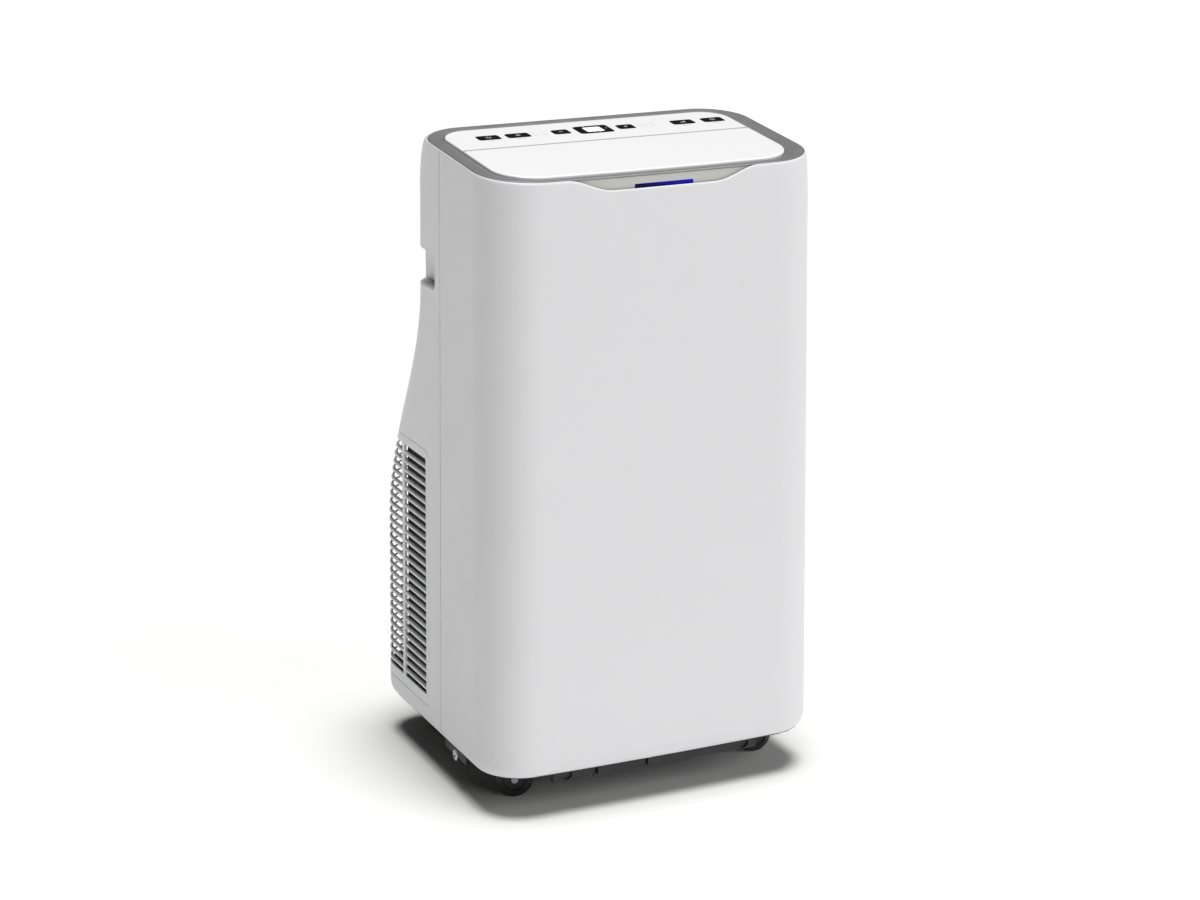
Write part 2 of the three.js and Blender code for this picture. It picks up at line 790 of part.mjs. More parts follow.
// A ring or plug turned about an axis along Y; z of the profile counts backwards.
function turnedBack(points, sides, x, y, z) {
  return solid(turned(points, sides).translate(x, y, z));
}
const collarTop = lowerBack - seatY - 0.2;
const collar = turnedBack(
  [
    [exhaustBore + fitGap, 0.3],
    [exhaustSeat - 5, 0.3],
    [exhaustSeat - 5, 3.3],
    [exhaustBore + fitGap + collarWall, 3.3],
    [exhaustBore + fitGap + collarWall, collarTop],
    [exhaustBore + fitGap, collarTop],
  ],
  36,
  0,
  seatY,
  exhaustZ,
);
add("exhaust_collar", collar, "whiteAbs");

for (const [name, x, z] of drainSpots) {
  const seat = Math.max(backAt(z - plugHead), backAt(z)) + 0.3;
  const stem = rod([x, seat - 7, z], [x, seat + 0.5, z], plugRadius, 16);
  const head = rod([x, seat, z], [x, seat + headProud - 0.3, z], plugHead, 20);
  add(name, stem.add(head), "rubber");
}

const gland = turnedBack(
  [
    [cordRadius, -9],
    [glandRadius, -9],
    [glandRadius, 0.3],
    [glandRadius + 4, 0.3],
    [glandRadius + 2.5, headProud],
    [cordRadius, headProud],
  ],
  20,
  cordX,
  lowerBack,
  cordZ,
);
add("cord_gland", gland, "rubber");

// ---------------------------------------------------------------- base pan
function buildBasePan() {
  const outline = bodyOutline(panFoot, wall + fitGap);
  const rimTop = panFoot + panRim;
  const floorTop = panFoot + panThick;
  let pan = prism(outline, panFoot, rimTop).subtract(
    prism(bodyOutline(panFoot, 2 * wall + fitGap), floorTop, rimTop + 1),
  );
  const lip = footRoundIn + wall + seamGap;
  const face = frontCornerY + lip - 2.2;
  const strip = box(-stripHalf, stripHalf, face, face + stripDeep, stripFoot, floorTop - 1);
  pan = pan.add(strip);
  for (const [x, width] of [
    [-76, 7],
    [-13, 3],
  ]) {
    pan = pan.subtract(box(x, x + width, face - 1, face + stripDeep + 1, stripFoot - 1, panFoot - 2));
  }
  for (const side of [-1, 1]) {
    const x = side * screwX;
    pan = pan.subtract(rod([x, face - 1, screwZ], [x, face + screwSink, screwZ], screwHead, 16));
    const reach = halfWidthAt(shellLip) - lip;
    const [x0, x1] = side > 0 ? [reach - 5, reach] : [-reach, 5 - reach];
    pan = pan.add(box(x0, x1, sideStripFrom, sideStripTo, sideStripFoot, floorTop - 1));
  }
  for (const [, x, y] of casterTurns) {
    pan = pan.add(rod([x, y, floorTop - 1], [x, y, panFoot + socketHigh], stemRadius + 4, 14));
    const top = panFoot + socketHigh - 3;
    pan = pan.subtract(rod([x, y, panFoot - 1], [x, y, top], stemRadius + fitGap, 12));
  }
  return pan;
}
add("base_pan", buildBasePan(), "blackPlastic");

// ---------------------------------------------------------------- casters
const hoodHalf = 2;
const wheelFrom = hoodHalf + wheelGap;
const wheelTo = wheelFrom + wheelWide;
const fenderRadius = wheelRadius + 2.6;

function buildHood() {
  const centre = [casterTrail, wheelRadius];
  const web = slab(circle(...centre, wheelRadius - 3, 16), -hoodHalf, hoodHalf);
  const neck = box(-9, casterTrail + 9, -hoodHalf, hoodHalf, wheelRadius, fenderRadius + wheelRadius - 1);
  const fenderHalf = wheelTo + 0.4;
  const fender = slab(circle(...centre, fenderRadius, 20), -fenderHalf, fenderHalf).subtract(
    slab(circle(...centre, fenderRadius - 1.6, 20), -fenderHalf - 1, fenderHalf + 1),
  );
  const above = box(-60, 60, -60, 60, wheelRadius + 6, 60);
  const plateTop = panFoot - hoodGap;
  const plate = rod([0, 0, fenderRadius + wheelRadius - 3], [0, 0, plateTop], 10, 14);
  const wheelRoom = slab(circle(...centre, fenderRadius - 1.6, 20), wheelFrom - 0.3, fenderHalf + 1).add(
    slab(circle(...centre, fenderRadius - 1.6, 20), -fenderHalf - 1, 0.3 - wheelFrom),
  );
  const stem = rod([0, 0, plateTop - 2], [0, 0, panFoot + socketHigh - 4], stemRadius, 12);
  const axleHole = rod(
    [casterTrail, -5, wheelRadius],
    [casterTrail, 5, wheelRadius],
    axleRadius + pinGap,
    12,
  );
  return web
    .add(neck)
    .add(fender.intersect(above))
    .add(plate)
    .subtract(wheelRoom)
    .add(stem)
    .subtract(axleHole);
}

function buildAxle() {
  const end = wheelTo + 0.4;
  const [x, z] = [casterTrail, wheelRadius];
  return rod([x, -end, z], [x, end, z], axleRadius, 12)
    .add(rod([x, end - 0.1, z], [x, end + 1, z], axleRadius + 1.2, 12))
    .add(rod([x, -end - 1, z], [x, 0.1 - end, z], axleRadius + 1.2, 12));
}

function buildWheel(side) {
  const bore = axleRadius + pinGap;
  const [y0, y1] = [wheelFrom, wheelTo];
  const profile = [
    [bore, y0],
    [wheelRadius - 1, y0],
    [wheelRadius, y0 + 1],
    [wheelRadius, y1 - 2],
    [wheelRadius - 2, y1],
    [bore, y1],
  ];
  const wheel = turned(profile, 20);
  if (side < 0) wheel.rotateX(Math.PI);
  return solid(wheel.translate(casterTrail, 0, wheelRadius));
}

const hood = buildHood();
const axle = buildAxle();
for (const [place, x, y, turn] of casterTurns) {
  const caster = new THREE.Group();
  caster.position.set(x, y, 0);
  caster.rotation.z = THREE.MathUtils.degToRad(turn);
  airConditioner.add(caster);
  add("caster_hood_" + place, hood, "blackPlastic", caster);
  add("caster_axle_" + place, axle, "steel", caster);
  add("caster_wheel_" + place + "_a", buildWheel(1), "blackPlastic", caster);
  add("caster_wheel_" + place + "_b", buildWheel(-1), "blackPlastic", caster);
}

// ---------------------------------------------------------------- cooling side
function buildTray() {
  const outline = bodyOutline(trayZ + 14, wall + 3);
  const inside = bodyOutline(trayZ + 14, wall + 5.5);
  return prism(outline, trayZ, trayZ + 12).subtract(prism(inside, trayZ + 3, trayZ + 13));
}
add("drip_tray", buildTray(), "greyPlastic");

function buildCoil(half, y0, y1, z0, z1) {
  let coil = box(-half, half, y0, y1, z0, z1);
  for (const side of [-1, 1]) {
    const [x0, x1] = side > 0 ? [half - 0.5, half + 1.5] : [-half - 1.5, 0.5 - half];
    coil = coil.add(box(x0, x1, y0 - 2, y1 + 2, z0 - 2, z1 + 2));
  }
  const bends = 5;
  const pitch = (z1 - z0) / bends;
  for (let i = 0; i < bends; i++) {
    const z = z0 + pitch * (i + 0.5);
    const from = [half + 1, (y0 + y1) / 2, z];
    coil = coil.add(rod(from, [half + 12, (y0 + y1) / 2, z], 3.5, 10));
  }
  return coil;
}
add("evaporator_coil", buildCoil(146, 16, 50, trayZ + 18, 640), "aluminium");

// Bladed wheel turning about an axis along Y.
function buildFanWheel(x, z, radius, front, back) {
  const bladeCount = 12;
  const disc = slab(circle(x, z, radius, 24), front, front + 2);
  const hubHole = slab(circle(x, z, shaftRadius + 0.3, 12), front - 1, back + 1);
  const hub = slab(circle(x, z, 12, 14), front, front + 24);
  const ringOut = slab(circle(x, z, radius, 24), back - 4, back).subtract(
    slab(circle(x, z, radius - 12, 24), back - 5, back + 1),
  );
  let wheel = disc.add(hub).add(ringOut);
  for (let i = 0; i < bladeCount; i++) {
    const a = (i / bladeCount) * 2 * Math.PI;
    const blade = new THREE.BoxGeometry(11, back - front - 1, 1.4)
      .rotateY(0.7)
      .translate(radius - 7, (front + back) / 2, 0)
      .rotateY(-a)
      .translate(x, 0, z);
    wheel = wheel.add(solid(blade));
  }
  return wheel.subtract(hubHole);
}

// Motor behind or in front of a wheel, its shaft reaching into the hub.
function buildMotor(x, z, y0, y1, shaftEnd) {
  const towards = Math.sign(shaftEnd - y1) || 1;
  const [from, to] = towards > 0 ? [y1 - 1, shaftEnd] : [shaftEnd, y0 + 1];
  return slab(circle(x, z, motorRadius, 28), y0, y1).add(
    slab(circle(x, z, shaftRadius, 14), from, to),
  );
}

// Closed housing round a wheel, a U in X and Z with an open top and a round inlet behind.
function buildBlowerScroll() {
  const radius = blowerRadius + scrollGap;
  const front = blowerFront - 8;
  const back = blowerBack + 8;
  const top = 614;
  const u = (r, high) => [
    new THREE.Vector2(r, high),
    ...ellipseArc(0, blowerZ, r, r, 0, -Math.PI, 20),
    new THREE.Vector2(-r, high),
  ];
  return slab(u(radius + wall, top).reverse(), front, back)
    .subtract(slab(u(radius, top + 5).reverse(), front + wall, back - wall))
    .subtract(slab(circle(0, blowerZ, blowerRadius - 16, 24), back - 5, back + 5))
    .subtract(slab(circle(0, blowerZ, 14, 20), front - 1, front + 5));
}
add("blower_scroll", buildBlowerScroll(), "greyPlastic");
add("blower_wheel", buildFanWheel(0, blowerZ, blowerRadius, blowerFront, blowerBack), "blackPlastic");
add("blower_motor", buildMotor(0, blowerZ, blowerFront - 34, blowerFront - 9, blowerFront + 20), "steel");

// ---------------------------------------------------------------- exhaust side
add("condenser_coil", buildCoil(148, 106, 146, 72, 198), "aluminium");

function buildCondenserScroll() {
  const radius = fanRadius + scrollGap;
  const front = fanFront - 8;
  const back = fanBack + 8;
  const chimney = (grow, y0, y1) =>
    slab(circle(fanX, fanZ, radius + grow, 28), y0, y1).add(
      box(-ductTube - grow, ductTube + grow, y0, y1, fanZ, exhaustZ + ductTube + grow),
    );
  const tubeEnd = seatY - wall - 1;
  return chimney(wall, front, back)
    .add(exhaustDisc(ductTube, back - wall, tubeEnd))
    .subtract(chimney(0, front + wall, back - wall))
    .subtract(exhaustDisc(ductTube - wall, back - wall - 1, tubeEnd + 1))
    .subtract(slab(circle(fanX, fanZ, fanRadius - 16, 24), back - 5, back + 5))
    .subtract(slab(circle(fanX, fanZ, 14, 20), front - 1, front + 5));
}
add("condenser_scroll", buildCondenserScroll(), "greyPlastic");
add("condenser_fan", buildFanWheel(fanX, fanZ, fanRadius, fanFront, fanBack), "blackPlastic");
add("condenser_motor", buildMotor(fanX, fanZ, fanFront - 60, fanFront - 9, fanFront + 20), "steel");

function buildCompressor() {
  const z0 = panFoot + panThick + 0.6;
  const r = compressorRadius;
  const profile = [
    [0, 0],
    [r * 0.75, 0],
    [r, 12],
    [r, compressorHigh - 30],
    [r * 0.86, compressorHigh - 12],
    [r * 0.5, compressorHigh - 2],
    [0, compressorHigh],
  ].map(([radius, high]) => new THREE.Vector2(radius, high));
  const shell = new THREE.LatheGeometry(profile, 28).rotateX(Math.PI / 2);
  const can = solid(shell.translate(compressorX, compressorY, z0));
  const stub = rod(
    [compressorX + 20, compressorY, z0 + compressorHigh - 14],
    [compressorX + 20, compressorY, z0 + compressorHigh + 14],
    5,
    14,
  );
  const foot = rod(
    [compressorX, compressorY, z0],
    [compressorX, compressorY, z0 + 3],
    compressorRadius + 10,
    6,
  );
  return can.add(stub).add(foot);
}
add("compressor", buildCompressor(), "paintedBlack");

function buildElectricBox() {
  const [x0, x1, y0, y1, z0, z1] = [72, 160, -146, -62, 84, 300];
  return box(x0, x1, y0, y1, z0, z1).subtract(
    box(x0 + wall, x1 + 1, y0 + wall, y1 - wall, z0 + wall, z1 - wall),
  );
}
add("electric_box", buildElectricBox(), "steel");

export default airConditioner;
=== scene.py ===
# Portable air conditioner on casters: moulded shells, tilted key deck, louvred sides.
import math

import bmesh
import bpy
from mathutils import Matrix, Vector


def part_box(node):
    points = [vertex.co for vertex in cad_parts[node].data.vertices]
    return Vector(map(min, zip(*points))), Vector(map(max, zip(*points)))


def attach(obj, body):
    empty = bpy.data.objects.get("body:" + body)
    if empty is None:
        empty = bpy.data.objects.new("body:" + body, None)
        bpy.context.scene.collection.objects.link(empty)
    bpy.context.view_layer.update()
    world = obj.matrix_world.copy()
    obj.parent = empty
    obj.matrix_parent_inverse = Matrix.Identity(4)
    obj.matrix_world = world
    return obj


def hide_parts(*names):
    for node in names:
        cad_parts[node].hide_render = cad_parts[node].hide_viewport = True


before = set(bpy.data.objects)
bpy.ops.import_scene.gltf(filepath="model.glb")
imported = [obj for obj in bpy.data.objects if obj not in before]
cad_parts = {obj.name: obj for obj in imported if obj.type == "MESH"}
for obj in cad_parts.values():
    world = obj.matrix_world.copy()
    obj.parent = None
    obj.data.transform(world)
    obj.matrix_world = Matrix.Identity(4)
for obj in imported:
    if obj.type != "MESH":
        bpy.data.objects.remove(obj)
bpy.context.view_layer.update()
mm = 0.001
scene = bpy.context.scene
print("frame loaded:", len(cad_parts), "nodes")

# Camera, light and floor
cameraSetup = {
    "place": (-1.2429, -2.7081, 1.2351),
    "target": (-0.0686, -0.161, 0.3979),
    "lens": 85.2,  # mm, on a 36 mm sensor
}
lightSetup = {
    "surround": 0.04,
    "overhead": (3.3, 30, (0.02, -0.06, 1)),  # strength, softness in degrees, where from
    "front": (1.25, 50, (0.6, -0.9, 0.45)),
}
floorSetup = {"side": 60, "colour": "#F3F3F2"}


def linearColour(hexCode, alpha=1):  # sRGB hex to the linear values that shaders take
    channels = [int(hexCode[i : i + 2], 16) / 255 for i in (1, 3, 5)]
    return [c / 12.92 if c <= 0.04045 else ((c + 0.055) / 1.055) ** 2.4 for c in channels] + [alpha]


def addNode(tree, kind, settings=(), inputs=()):  # inputs: plain values, or sockets to link from
    node = tree.nodes.new(kind)
    for name, value in dict(settings).items():
        setattr(node, name, value)
    for name, value in dict(inputs).items():
        if isinstance(value, bpy.types.NodeSocket):
            tree.links.new(value, node.inputs[name])
        else:
            node.inputs[name].default_value = value
    return node


def pointAt(obj, place, target):
    obj.location = place
    obj.rotation_euler = (Vector(target) - Vector(place)).to_track_quat("-Z", "Y").to_euler()
    scene.collection.objects.link(obj)
    return obj


camera = bpy.data.cameras.new("camera")
camera.lens = cameraSetup["lens"]
camera.sensor_width = 36
scene.camera = pointAt(
    bpy.data.objects.new("camera", camera), cameraSetup["place"], cameraSetup["target"]
)
scene.view_settings.view_transform = "Standard"  # white plastic stays white

for lightName in ("overhead", "front"):
    strength, softness, source = lightSetup[lightName]
    lamp = bpy.data.lights.new(lightName, "SUN")
    lamp.energy = strength
    lamp.angle = math.radians(softness)
    pointAt(bpy.data.objects.new(lightName, lamp), source, (0, 0, 0))

scene.world = bpy.data.worlds.new("studio")
scene.world.use_nodes = True
scene.world.node_tree.nodes.clear()
surround = addNode(
    scene.world.node_tree,
    "ShaderNodeBackground",
    inputs={"Color": (1, 1, 1, 1), "Strength": lightSetup["surround"]},
)
addNode(scene.world.node_tree, "ShaderNodeOutputWorld", inputs={"Surface": surround.outputs[0]})


# Materials
def newMaterial(name, values=()):
    material = bpy.data.materials.new(name)
    material.use_nodes = True
    tree = material.node_tree
    tree.nodes.clear()
    shader = addNode(tree, "ShaderNodeBsdfPrincipled", inputs=values)
    addNode(tree, "ShaderNodeOutputMaterial", inputs={"Surface": shader.outputs[0]})
    return material, tree, shader


# Two tones of colour and roughness in slow clouds, and a fine bump: most moulded and painted parts.
def surfaceDetail(tree, shader, tones, roughness, cloudSize, grainSize, grainDepth, grainSharp=0.5):
    place = addNode(tree, "ShaderNodeTexCoord").outputs["Object"]
    clouds = addNode(
        tree,
        "ShaderNodeTexNoise",
        inputs={"Vector": place, "Scale": 1 / (cloudSize * mm), "Detail": 3, "Roughness": 0.55},
    )
    colour = addNode(
        tree,
        "ShaderNodeMix",
        {"data_type": "RGBA"},
        {0: clouds.outputs[0], 6: linearColour(tones[0]), 7: linearColour(tones[1])},
    )
    tree.links.new(colour.outputs[2], shader.inputs["Base Color"])
    sheen = addNode(
        tree,
        "ShaderNodeMapRange",
        inputs={0: clouds.outputs[0], 1: 0.3, 2: 0.7, 3: roughness[0], 4: roughness[1]},
    )
    tree.links.new(sheen.outputs[0], shader.inputs["Roughness"])
    grain = addNode(
        tree,
        "ShaderNodeTexNoise",
        inputs={"Vector": place, "Scale": 1 / (grainSize * mm), "Detail": 2, "Roughness": grainSharp},
    )
    bump = addNode(
        tree,
        "ShaderNodeBump",
        inputs={"Strength": 1, "Distance": grainDepth * mm, "Height": grain.outputs[0]},
    )
    tree.links.new(bump.outputs[0], shader.inputs["Normal"])
    return place, grain


def makeSparkErodedAbs():  # white ABS from a spark-eroded mould: soft sheen, fine even grain
    material, tree, shader = newMaterial("sparkErodedWhiteAbs", {"IOR": 1.53})
    surfaceDetail(tree, shader, ("#DDDDDF", "#DBDBDD"), (0.36, 0.42), 60, 0.7, 0.012)
    return material


def makePolishedAbs():  # high-gloss white ABS: clean mirror-like highlights, faint flow waves
    material, tree, shader = newMaterial("polishedWhiteAbs", {"IOR": 1.53})
    surfaceDetail(tree, shader, ("#FBFBFB", "#F8F8F8"), (0.16, 0.2), 40, 9, 0.02)
    return material


def makeSilverPaint():  # silver lacquer over ABS: dull metal look with fine flake
    material, tree, shader = newMaterial("silverLacqueredAbs", {"Metallic": 0.45, "IOR": 1.5})
    place, _ = surfaceDetail(tree, shader, ("#8C8C8C", "#959595"), (0.36, 0.44), 30, 0.8, 0.01)
    flake = addNode(
        tree, "ShaderNodeTexVoronoi", inputs={"Vector": place, "Scale": 1 / (0.5 * mm)}
    )  # real flake is 0.05 mm, drawn ten times coarser so that it shows
    tone = addNode(
        tree,
        "ShaderNodeMix",
        {"data_type": "RGBA", "blend_type": "OVERLAY"},
        {
            0: 0.16,
            6: shader.inputs["Base Color"].links[0].from_socket,
            7: flake.outputs["Color"],
        },
    )
    grey = addNode(tree, "ShaderNodeHueSaturation", inputs={"Saturation": 0, "Color": tone.outputs[2]})
    tree.links.new(grey.outputs[0], shader.inputs["Base Color"])
    return material


def makeWarmGreyAbs():  # warm grey satin ABS of the sensor insert
    material, tree, shader = newMaterial("satinWarmGreyAbs", {"IOR": 1.53})
    surfaceDetail(tree, shader, ("#C4C4BF", "#BFBFBA"), (0.42, 0.5), 25, 0.7, 0.01)
    return material


def makePianoBlack():  # black gloss keys: deep colour, sharp reflections, faint finger haze
    material, tree, shader = newMaterial("glossBlackAbs", {"IOR": 1.53})
    surfaceDetail(tree, shader, ("#09090A", "#0E0E10"), (0.14, 0.3), 7, 5, 0.01)
    return material


def makeBlackPolypropylene():  # base pan and caster hoods: dull black with a coarse moulded grain
    material, tree, shader = newMaterial("grainedBlackPolypropylene", {"IOR": 1.49})
    surfaceDetail(tree, shader, ("#121212", "#1B1B1B"), (0.45, 0.62), 18, 0.9, 0.05)
    return material


def makeTyreNylon():  # caster wheels: black nylon, a little shinier, scuffed by the floor
    material, tree, shader = newMaterial("scuffedBlackNylon", {"IOR": 1.53})
    surfaceDetail(tree, shader, ("#101010", "#1E1E1D"), (0.32, 0.55), 6, 1.2, 0.05, 0.7)
    return material


def makeGreyPolypropylene():  # ducts, fan housings and trays: grey filled plastic with cloudy tone
    material, tree, shader = newMaterial("greyPolypropylene", {"IOR": 1.49})
    surfaceDetail(tree, shader, ("#6E7174", "#7B7E81"), (0.5, 0.62), 30, 1, 0.03)
    return material


def makeRubber():  # black moulded rubber: matt, with a bloom of lighter dust
    material, tree, shader = newMaterial("mouldedRubber", {"IOR": 1.52})
    surfaceDetail(tree, shader, ("#191919", "#2A2A29"), (0.7, 0.9), 8, 0.6, 0.03)
    return material


def makeInk(name, tone):  # pad-printed ink: flat and matt, slightly uneven
    material, tree, shader = newMaterial(name, {"IOR": 1.5})
    surfaceDetail(tree, shader, tone, (0.5, 0.6), 4, 0.4, 0.004)
    return material


def makeZincPlate():  # zinc-plated screw heads and axles: bright bluish steel with fine turning
    material, tree, shader = newMaterial("zincPlatedSteel", {"Metallic": 1})
    surfaceDetail(tree, shader, ("#B9BCBE", "#A7AAAD"), (0.24, 0.36), 3, 0.5, 0.01)
    return material


def makeGalvanised():  # sheet steel with zinc spangle: crystals of slightly different grey
    material, tree, shader = newMaterial("galvanisedSteel", {"Metallic": 1, "Roughness": 0.42})
    place = addNode(tree, "ShaderNodeTexCoord").outputs["Object"]
    spangle = addNode(
        tree, "ShaderNodeTexVoronoi", inputs={"Vector": place, "Scale": 1 / (9 * mm)}
    )
    grey = addNode(
        tree, "ShaderNodeHueSaturation", inputs={"Saturation": 0, "Color": spangle.outputs["Color"]}
    )
    tone = addNode(
        tree,
        "ShaderNodeMix",
        {"data_type": "RGBA"},
        {0: grey.outputs[0], 6: linearColour("#9DA0A2"), 7: linearColour("#B9BBBD")},
    )
    tree.links.new(tone.outputs[2], shader.inputs["Base Color"])
    rolled = addNode(
        tree, "ShaderNodeTexNoise", inputs={"Vector": place, "Scale": 1 / (1.5 * mm), "Detail": 2}
    )
    bump = addNode(
        tree, "ShaderNodeBump", inputs={"Distance": 0.02 * mm, "Height": rolled.outputs[0]}
    )
    tree.links.new(bump.outputs[0], shader.inputs["Normal"])
    return material


def makeEnamel():  # baked black enamel of the compressor can
    material, tree, shader = newMaterial("bakedBlackEnamel", {"IOR": 1.5})
    surfaceDetail(tree, shader, ("#141516", "#1D1F20"), (0.3, 0.42), 22, 2.5, 0.04)
    return material


def makeFinAluminium():  # thin rolled fin stock: bright, streaked along the rolling
    material, tree, shader = newMaterial("rolledFinAluminium", {"Metallic": 1})
    surfaceDetail(tree, shader, ("#B7BABC", "#C6C8CA"), (0.34, 0.46), 12, 0.8, 0.01)
    return material


def makeCopper():  # drawn copper tube, browned in patches
    material, tree, shader = newMaterial("drawnCopper", {"Metallic": 1})
    surfaceDetail(tree, shader, ("#B87447", "#8E5736"), (0.28, 0.42), 9, 0.8, 0.01)
    return material


def makeSolderMask():  # green board lacquer over woven glass
    material, tree, shader = newMaterial("greenSolderMask", {"IOR": 1.5})
    surfaceDetail(tree, shader, ("#1C5C34", "#174E2C"), (0.3, 0.4), 5, 0.8, 0.01)
    return material


def makeNet():  # dark nylon filter net
    material, tree, shader = newMaterial("wovenNylonNet", {"IOR": 1.53})
    surfaceDetail(tree, shader, ("#141517", "#1E2022"), (0.6, 0.75), 10, 0.5, 0.02)
    return material


def makeDisplay():  # milky acrylic window, lit faintly from behind
    material, tree, shader = newMaterial(
        "litMilkAcrylic",
        {"IOR": 1.49, "Emission Color": linearColour("#F4F8FF"), "Emission Strength": 0.35},
    )
    surfaceDetail(tree, shader, ("#F4F6F8", "#EEF1F4"), (0.12, 0.2), 8, 3, 0.01)
    return material


def makeReceiver():  # deep blue infrared window with painted shade: nearly black at the left end, vivid blue at the lit right end
    material, tree, shader = newMaterial(
        "smokedBlueAcrylicPaintedShade", {"IOR": 1.49, "Specular IOR Level": 0.12}
    )
    low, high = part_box("receiver_window")
    place, _ = surfaceDetail(tree, shader, ("#02013C", "#0604A6"), (0.08, 0.14), 12, 4, 0.01)
    # painted shade: the base colour runs from nearly black at the left end to vivid blue at the right
    # end, where the lamps fall
    across = addNode(tree, "ShaderNodeSeparateXYZ", inputs={0: place})
    share = addNode(
        tree,
        "ShaderNodeMapRange",
        inputs={0: across.outputs[0], 1: low.x + 8 * mm, 2: high.x - 8 * mm, 3: 0, 4: 1},
    )
    colour = addNode(
        tree,
        "ShaderNodeMix",
        {"data_type": "RGBA"},
        {0: share.outputs[0], 6: linearColour("#02013C"), 7: linearColour("#0604A6")},
    )
    tree.links.new(colour.outputs[2], shader.inputs["Base Color"])
    return material


def makeReceiverRim():  # pale moulded rim that holds the blue window
    material, tree, shader = newMaterial("paleBlueAcrylic", {"IOR": 1.49})
    surfaceDetail(tree, shader, ("#C4C6E2", "#B9BCDA"), (0.2, 0.3), 6, 2, 0.01)
    return material


def makeFloor():
    material, tree, shader = newMaterial("studioFloor", {"Specular IOR Level": 0.2})
    tone = floorSetup["colour"]
    surfaceDetail(tree, shader, (tone, tone), (0.8, 0.9), 400, 3, 0.01)
    return material


finish = {
    "shell": makeSparkErodedAbs(),
    "gloss": makePolishedAbs(),
    "silver": makeSilverPaint(),
    "warmGrey": makeWarmGreyAbs(),
    "pianoBlack": makePianoBlack(),
    "black": makeBlackPolypropylene(),
    "tyre": makeTyreNylon(),
    "grey": makeGreyPolypropylene(),
    "rubber": makeRubber(),
    "whiteInk": makeInk("whitePadInk", ("#E9E9E9", "#DCDCDC")),
    "greyInk": makeInk("greyPadInk", ("#9A9C9E", "#A9ABAD")),
    "zinc": makeZincPlate(),
    "galvanised": makeGalvanised(),
    "enamel": makeEnamel(),
    "fins": makeFinAluminium(),
    "copper": makeCopper(),
    "board": makeSolderMask(),
    "net": makeNet(),
    "display": makeDisplay(),
    "receiver": makeReceiver(),
    "receiverRim": makeReceiverRim(),
}
print("materials made:", len(finish))


# Mesh helpers
def meshObject(name, points, faces):
    mesh = bpy.data.meshes.new(name)
    mesh.from_pydata([tuple(p) for p in points], [], faces)
    mesh.update()
    obj = bpy.data.objects.new(name, mesh)
    scene.collection.objects.link(obj)
    return obj


def baked(obj):  # the modifiers' result becomes the object's own plain mesh
    graph = bpy.context.evaluated_depsgraph_get()
    mesh = bpy.data.meshes.new_from_object(obj.evaluated_get(graph), depsgraph=graph)
    obj.modifiers.clear()
    obj.data = mesh
    return obj


def combined(obj, operation, *tools):  # boolean with closed tools, which are used up
    for tool in tools:
        change = obj.modifiers.new("cut", "BOOLEAN")
        change.operation = operation
        change.solver = "MANIFOLD"
        change.object = tool
    baked(obj)
    for tool in tools:
        bpy.data.objects.remove(tool)
    return obj


def copyOf(obj, name):
    twin = bpy.data.objects.new(name, obj.data.copy())
    scene.collection.objects.link(twin)
    return twin


def joined(name, parts):  # several closed solids in one object
    points, faces = [], []
    for part in parts:
        first = len(points)
        points += [v.co.copy() for v in part.data.vertices]
        faces += [[first + i for i in polygon.vertices] for polygon in part.data.polygons]
        bpy.data.objects.remove(part)
    return meshObject(name, points, faces)


def outward(obj):  # merges doubles and turns the faces out
    work = bmesh.new()
    work.from_mesh(obj.data)
    bmesh.ops.remove_doubles(work, verts=work.verts, dist=1e-6)
    bmesh.ops.recalc_face_normals(work, faces=work.faces)
    work.to_mesh(obj.data)
    work.free()
    return obj


def rounded(obj, width, segments=2, angle=35):
    edge = obj.modifiers.new("edge", "BEVEL")
    edge.width = width * mm
    edge.segments = segments
    edge.limit_method = "ANGLE"
    edge.angle_limit = math.radians(angle)
    edge.use_clamp_overlap = True
    return baked(obj)


def placed(obj, body, material, nodes=(), sharp=32, weighted=False):
    for name in ("outline", "facing", "rise", "inset"):
        if name in obj.data.attributes:
            obj.data.attributes.remove(obj.data.attributes[name])
    obj.data.materials.clear()
    obj.data.materials.append(material)
    obj.data.polygons.foreach_set("material_index", [0] * len(obj.data.polygons))
    obj.data.shade_smooth()
    obj.data.set_sharp_from_angle(angle=math.radians(sharp))
    if weighted:
        obj.modifiers.new("flatTops", "WEIGHTED_NORMAL").keep_sharp = True
        baked(obj)
    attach(obj, body)
    if nodes:
        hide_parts(*nodes)
    return obj


def stacked(name, loops, turn=None, ring=False):  # loops of equal count, joined one to the next
    count = len(loops[0])
    points = [Vector(p) * mm for loop in loops for p in loop]
    if turn is not None:
        points = [turn @ p for p in points]
    faces = []
    for r in range(len(loops) if ring else len(loops) - 1):
        low, high = r * count, (r + 1) % len(loops) * count
        pairs = [(i, (i + 1) % count) for i in range(count)]
        faces += [[low + i, low + j, high + j, high + i] for i, j in pairs]
    if not ring:
        faces += [list(range(count))[::-1], list(range(len(points) - count, len(points)))]
    return outward(meshObject(name, points, faces))


def prism(name, outline, low, high, turn=None):  # an outline in X and Y pushed along Z
    return stacked(name, [[(x, y, z) for x, y in outline] for z in (low, high)], turn)


def softPad(name, outlineAt, low, high, edge, turn=None):  # a plate with a rounded top edge
    loops = [[(x, y, low) for x, y in outlineAt(0)]]
    for radius, t in quarter(edge, 5):
        z = high - radius * (1 - math.sin(t))
        loops.append([(x, y, z) for x, y in outlineAt(radius * (1 - math.cos(t)))])
    return stacked(name, loops, turn)


def quarter(radius, steps=6):
    return [(radius, math.pi / 2 * i / steps) for i in range(steps + 1)]


